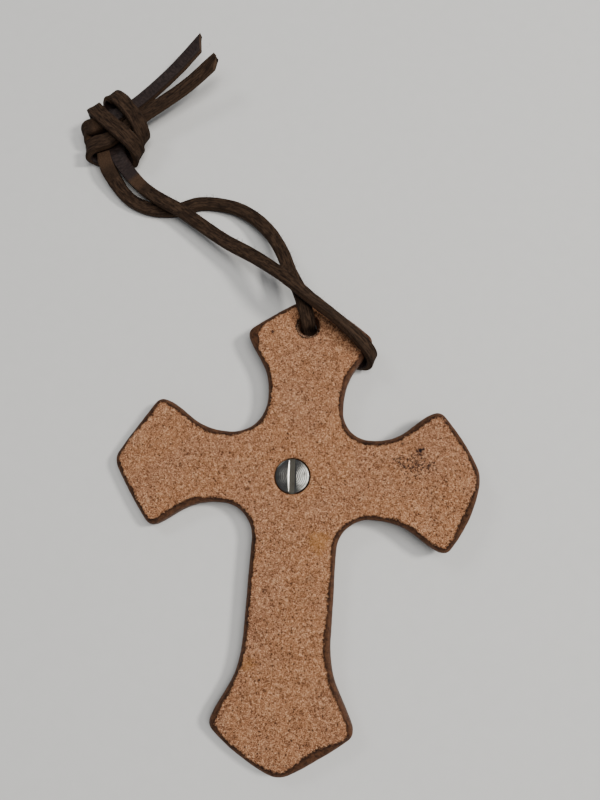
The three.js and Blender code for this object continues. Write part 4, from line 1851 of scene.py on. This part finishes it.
@dataclass
class Lace:
    """The knotted leather lace, which runs from one cut end through the knot and hole to the other.

    The places in flips, tied and bent, and those of the fibres, are row numbers of its line: where
    the lace lies turned over, where it is in the knot, where it bends over the leather's edge, and
    where loose fibres stand out, with how many.
    """

    line: LaceLine
    width: float = 4.15
    thickness: float = 2.2
    step: float = 0.36
    flesh_ease: float = 0.32
    grain_ease: float = 0.62
    flips: tuple[tuple[float, float, float, float], ...] = (
        (22.0, 25.0, 42.0, 46.0), (59.6, 60.8, 78.6, 80.2),
    )
    first_cut: float = 3.3
    last_cut: float = 4.3
    cut_reach: float = 9.0
    tied: tuple[tuple[float, float], ...] = ((2.8, 26.4), (59.8, 82.0))
    swell: float = 0.2
    bent: tuple[float, float] = (46.0, 55.5)
    pinch: float = 0.14
    plump: float = 0.1
    lumps: Ripple = Ripple(2.1, 6.4, 1.0)
    lump_height: float = 0.16
    slim_ripple: Ripple = Ripple(9.0, 2.6, 1.0)
    slim_share: float = 0.035
    thin_ripple: Ripple = Ripple(6.0, 5.2, 1.0)
    thin_share: float = 0.04
    fuzz: Ripple = Ripple(0.55, 3.8, 1.0)
    ease_rows: float = 2.0
    fibre_seed: int = 11
    fibre_spans: tuple[tuple[float, float, int], ...] = (
        (26.0, 38.0, 170), (49.0, 60.0, 200), (61.0, 64.0, 25),
        (1.0, 4.5, 45), (81.0, 84.0, 14), (12.0, 20.0, 30),
    )

    def section(self) -> tuple[np.ndarray, np.ndarray]:
        """The cut section, anticlockwise, with rounder corners on the grain side.

        Returns:
            Rows of across and out, and how far each is to the grain side from -1 to 1.
        """
        half, thick = self.width / 2, self.thickness / 2
        corners = (
            (1, 1, self.grain_ease, 7), (-1, 1, self.grain_ease, 2),
            (-1, -1, self.flesh_ease, 7), (1, -1, self.flesh_ease, 2),
        )
        rows = []
        for i, (side, up, ease, gap) in enumerate(corners):
            middle = np.array([side * (half - ease), up * (thick - ease)])
            for turn in np.radians(90 * i + np.linspace(0, 90, 5)):
                rows.append(middle + ease * np.array([math.cos(turn), math.sin(turn)]))
            following = corners[(i + 1) % 4]
            start = np.radians(90 * (i + 1))
            target = np.array([following[0] * (half - following[2]), following[1] * (thick - following[2])])
            target = target + following[2] * np.array([math.cos(start), math.sin(start)])
            for share in np.arange(1, gap + 1) / (gap + 1):
                rows.append(self.between(middle, ease, start, target, share))
        points = np.array(rows)
        return points, np.clip(points[:, 1] / (thick * 0.92), -1, 1)

    @staticmethod
    def between(
        middle: np.ndarray, ease: float, turn: float, target: np.ndarray, share: float
    ) -> np.ndarray:
        """A point on the flat from a corner's end to the next corner's start."""
        start = middle + ease * np.array([math.cos(turn), math.sin(turn)])
        return start + (target - start) * share

    def within(self, places: np.ndarray, start: float, end: float) -> np.ndarray:
        """How far each place is in the stretch from start to end, from 0 to 1."""
        return eased((places - start) / self.ease_rows) * eased((end - places) / self.ease_rows)

    def flipped(self, places: np.ndarray) -> np.ndarray:
        """Which side looks outwards: 1 where the grain side does, -1 where the lace lies turned over.

        Args:
            places: row numbers on the line.

        Returns:
            A number from -1 to 1 for each.
        """
        value = np.ones(len(places))
        for start, full, still, end in self.flips:
            inside = eased((places - start) / (full - start)) * (1 - eased((places - still) / (end - still)))
            value -= 2 * inside
        return value

    def build(self, finish: LaceFinish) -> bpy.types.Object:
        """Make the lace.

        Args:
            finish: its finish.

        Returns:
            The lace's object.
        """
        count = int(self.line.length / self.step)
        runs = np.linspace(0, self.line.length, count + 1)
        places, points, tangents, widths, outs = self.line.frames(runs)
        section, grain = self.section()
        flip = self.flipped(places)
        tied = sum(self.within(places, *ends) for ends in self.tied)
        bent = self.within(places, *self.bent)
        spots = np.column_stack([runs, runs * 0])
        slim = 1 + self.slim_share * self.slim_ripple.at(spots)
        slim = slim + self.swell * tied - self.pinch * bent
        thin = 1 - self.thin_share * (1 + self.thin_ripple.at(spots)) + self.plump * tied
        surface = Surface()
        rows = []
        for i in range(count + 1):
            across, out = section[:, 0] * slim[i], section[:, 1] * thin[i]
            ring = points[i] + across[:, None] * widths[i] + out[:, None] * outs[i]
            share = section[:, 0] / (self.width / 2)
            back = self.set_back(runs[i], share)
            ring = ring + tangents[i] * back[:, None]
            side = -grain * flip[i]
            fuzzy = np.clip(side, 0, 1) * 0.05 + (1 - np.abs(side)) * 0.03 + 0.01 + 0.05 * tied[i]
            lumps = self.lumps.at(np.column_stack([np.full(len(section), runs[i]), across, side]))
            ring += (self.lump_height * tied[i] * lumps)[:, None] * normalised(ring - points[i])
            spot = np.column_stack([np.full(len(section), runs[i] * 0.3), across * 1.6, side])
            ring -= (fuzzy * (1 + self.fuzz.at(spot)))[:, None] * normalised(ring - points[i])
            pale = 1.0 if i in (0, count) else 0.0
            rows.append(surface.add(ring, run=runs[i] * MM, across=across * MM, side=side, pale=pale))
        surface.bands(rows)
        surface.faces.append(tuple(int(i) for i in rows[0][::-1]))
        surface.faces.append(tuple(int(i) for i in rows[-1]))
        made = surface.piece("knotted_lace", finish.material())
        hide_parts("lace")
        return made

    def set_back(self, run: float, share: np.ndarray) -> np.ndarray:
        """How far the slanted cuts move each point of a ring along the lace.

        Args:
            run: the ring's distance from the start.
            share: each point's place across, from -1 to 1.

        Returns:
            Distances along the lace, towards its middle.
        """
        near_start = max(0.0, 1 - run / self.cut_reach)
        near_end = max(0.0, 1 - (self.line.length - run) / self.cut_reach)
        first = self.first_cut * np.clip((0.15 - share) / 1.15, 0, 1)
        last = self.last_cut * np.clip((0.85 - share) / 1.85, 0, 1) ** 0.8
        return first * near_start - last * near_end

    def fibres(self, finish: FibreFinish) -> bpy.types.Object:
        """Make the loose fibres along the lace's edges.

        Args:
            finish: their finish.

        Returns:
            The fibres' object.
        """
        rng = np.random.default_rng(self.fibre_seed)
        surface = Surface()
        for start, end, count in self.fibre_spans:
            low, high = np.interp([start, end], self.line.fine, self.line.runs)
            runs = np.sort(rng.uniform(low, high, count))
            places, points, tangents, widths, outs = self.line.frames(runs)
            turned = self.flipped(places)
            for i in range(count):
                edge = 1 if rng.random() < 0.6 else -1
                flesh = -np.sign(turned[i])
                height = flesh * rng.uniform(0.1, 0.95) * self.thickness / 2
                root = points[i] + widths[i] * edge * self.width * 0.465 + outs[i] * height
                way = widths[i] * edge * rng.uniform(0.4, 1) + outs[i] * flesh * rng.uniform(0, 0.5)
                way = way + tangents[i] * rng.uniform(-1, 1)
                way = way / np.linalg.norm(way)
                bend = tangents[i] * rng.uniform(-0.6, 0.6) + outs[i] * rng.uniform(-0.3, 0.3)
                length = rng.uniform(0.3, 1.0) ** 1.6 * 1.5
                low_tip = root[2] + (way[2] + bend[2]) * length
                if low_tip < 0.15:
                    way[2] = abs(way[2])
                    bend[2] = abs(bend[2])
                Fibre(root, way, bend, length, rng.uniform(0.04, 0.09), rng.random()).add(surface, 4)
        made = surface.piece("lace_fibres", finish.material())
        return made


@dataclass
class HoleFibres:
    """Pale torn fibres at the rim of the lace hole, most of them on its lower left."""

    plate: LeatherCross
    count: int = 150
    seed: int = 5

    def build(self, finish: FibreFinish) -> bpy.types.Object:
        """Make the fibres.

        Args:
            finish: their finish.

        Returns:
            The fibres' object.
        """
        rng = np.random.default_rng(self.seed)
        surface = Surface()
        plate = self.plate
        turn = plate.place.turn
        for _ in range(self.count):
            angle = math.radians(rng.normal(235, 55))
            flat = np.array([math.cos(angle), math.sin(angle), 0.0])
            middle = np.array([plate.hole_x, plate.hole_y, 0.0])
            root = middle + flat * (plate.hole_radius + rng.uniform(0.05, 0.5))
            root[2] = plate.thickness - rng.uniform(0.25, 0.6)
            way = np.array([*(-flat[:2] * rng.uniform(0.2, 1.0)), rng.uniform(-0.1, 0.5)])
            way = way + np.array([-flat[1], flat[0], 0.0]) * rng.uniform(-0.8, 0.8)
            way = way / np.linalg.norm(way)
            bend = np.array([0.0, 0.0, -0.3]) + rng.uniform(-0.3, 0.3, 3)
            placed = plate.place.place(root[None])[0]
            length = rng.uniform(0.3, 1.0)
            thick = rng.uniform(0.05, 0.1)
            Fibre(placed, turn @ way, turn @ bend, length, thick, rng.random()).add(surface)
        made = surface.piece("hole_fibres", finish.material())
        return made


@dataclass(frozen=True)
class Lamp:
    """A soft round light: where it hangs and its size in metres, its power in watts and its colour."""

    name: str
    place: Triple
    size: float
    power: float
    colour: Triple

    def hang(self) -> None:
        """Add it to the scene, turned to the middle of the part."""
        data = bpy.data.lights.new(self.name, "AREA")
        data.shape = "DISK"
        data.size = self.size
        data.energy = self.power
        data.color = self.colour
        made = bpy.data.objects.new(self.name, data)
        made.location = self.place
        made.rotation_euler = Vector(self.place).to_track_quat("Z", "Y").to_euler()
        bpy.context.scene.collection.objects.link(made)


@dataclass
class Studio:
    """The floor, the lights and the camera at the photograph's place."""

    screw: np.ndarray
    focal: float = 620.0
    image_height: float = 800.0
    sensor: float = 24.0
    stand: Triple = (12.23, -15.77, 176.46)
    forward: Triple = (-0.06699697, 0.21313562, -0.97472284)
    right: Triple = (0.99566258, 0.07748922, -0.05149224)
    down: Triple = (0.06455568, -0.97394488, -0.2174027)
    floor_half: float = 1500.0
    floor_drop: float = 0.05
    lamps: tuple[Lamp, ...] = (
        Lamp("key", (0.92, 0.26, 0.98), 0.26, 12.5, (1.0, 0.985, 0.96)),
        Lamp("panel", (0.23, 0.05, 0.9), 0.56, 4.8, (1.0, 0.99, 0.98)),
        Lamp("fill", (-0.72, 0.62, 0.85), 0.4, 2.6, (0.96, 0.98, 1.0)),
    )
    world_colour: Triple = (0.9, 0.93, 1.0)
    world_strength: float = 0.24

    def camera(self) -> None:
        """Set the camera where the photograph was taken from."""
        data = bpy.data.cameras.new("camera")
        data.sensor_fit = "VERTICAL"
        data.sensor_height = self.sensor
        data.sensor_width = self.sensor
        data.lens = self.focal / self.image_height * self.sensor
        data.clip_start = 0.01
        data.clip_end = 20.0
        made = bpy.data.objects.new("camera", data)
        up = tuple(-v for v in self.down)
        back = tuple(-v for v in self.forward)
        turn = Matrix((self.right, up, back)).transposed()
        stand = Vector((self.stand[0] + self.screw[0], self.stand[1] + self.screw[1], self.stand[2])) * MM
        made.matrix_world = Matrix.Translation(stand) @ turn.to_4x4()
        bpy.context.scene.collection.objects.link(made)
        bpy.context.scene.camera = made

    def floor(self, finish: FloorFinish) -> None:
        """Lay the floor.

        Args:
            finish: its finish.
        """
        half = self.floor_half * MM
        low = -self.floor_drop * MM
        mesh = bpy.data.meshes.new("floor")
        corners = [(-half, -half, low), (half, -half, low), (half, half, low), (-half, half, low)]
        mesh.from_pydata(corners, [], [(0, 1, 2, 3)])
        mesh.materials.append(finish.material())
        made = bpy.data.objects.new("floor", mesh)
        bpy.context.scene.collection.objects.link(made)

    def lights(self) -> None:
        """Light it from the right and from overhead, with a weak fill from the left and all round."""
        for lamp in self.lamps:
            lamp.hang()
        world = bpy.data.worlds.new("room_light")
        world.use_nodes = True
        background = world.node_tree.nodes["Background"]
        background.inputs["Color"].default_value = (*self.world_colour, 1.0)
        background.inputs["Strength"].default_value = self.world_strength
        bpy.context.scene.world = world


def main() -> None:
    """Build and dress each piece, then set the scene."""
    logging.basicConfig(level=logging.INFO, format="%(name)s: %(message)s")
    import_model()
    outline = CrossOutline()
    place = PlatePlace(outline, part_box("leather_cross"))
    sizes = ScrewSizes()
    screw = BindingScrew(sizes, place)
    middle = place.place(np.array([[sizes.x, sizes.y, sizes.leather]]))[0]
    studio = Studio(middle)
    studio.camera()

    line = LaceLine(LACE_ROUTE, middle)
    lace = Lace(line)
    lace_piece = lace.build(LaceFinish())
    loose = lace.fibres(FibreFinish("lace_fibre", (0.016, 0.009, 0.0055), (0.085, 0.052, 0.033)))
    path = line.at(np.linspace(0, line.last, line.last * 4 + 1)) * MM
    LOG.info("lace: %.1f mm along its middle line", line.length)

    plate = LeatherCross(outline, place, sizes)
    plate_piece = plate.build(SuedeFinish())
    LOG.info("plate: %d faces", len(plate_piece.data.polygons))
    HoleFibres(plate).build(FibreFinish("hide_fibre", (0.22, 0.10, 0.05), (0.62, 0.42, 0.28)))
    head = screw.build_screw(SteelFinish("turned_steel", middle[0], middle[1]))
    LOG.info("screw: %d faces", len(head.data.polygons))
    screw.build_post(SteelFinish("post_steel", middle[0], middle[1]))

    studio.floor(FloorFinish())
    studio.lights()
    LOG.info("sizes written")


if __name__ == "__main__":
    main()
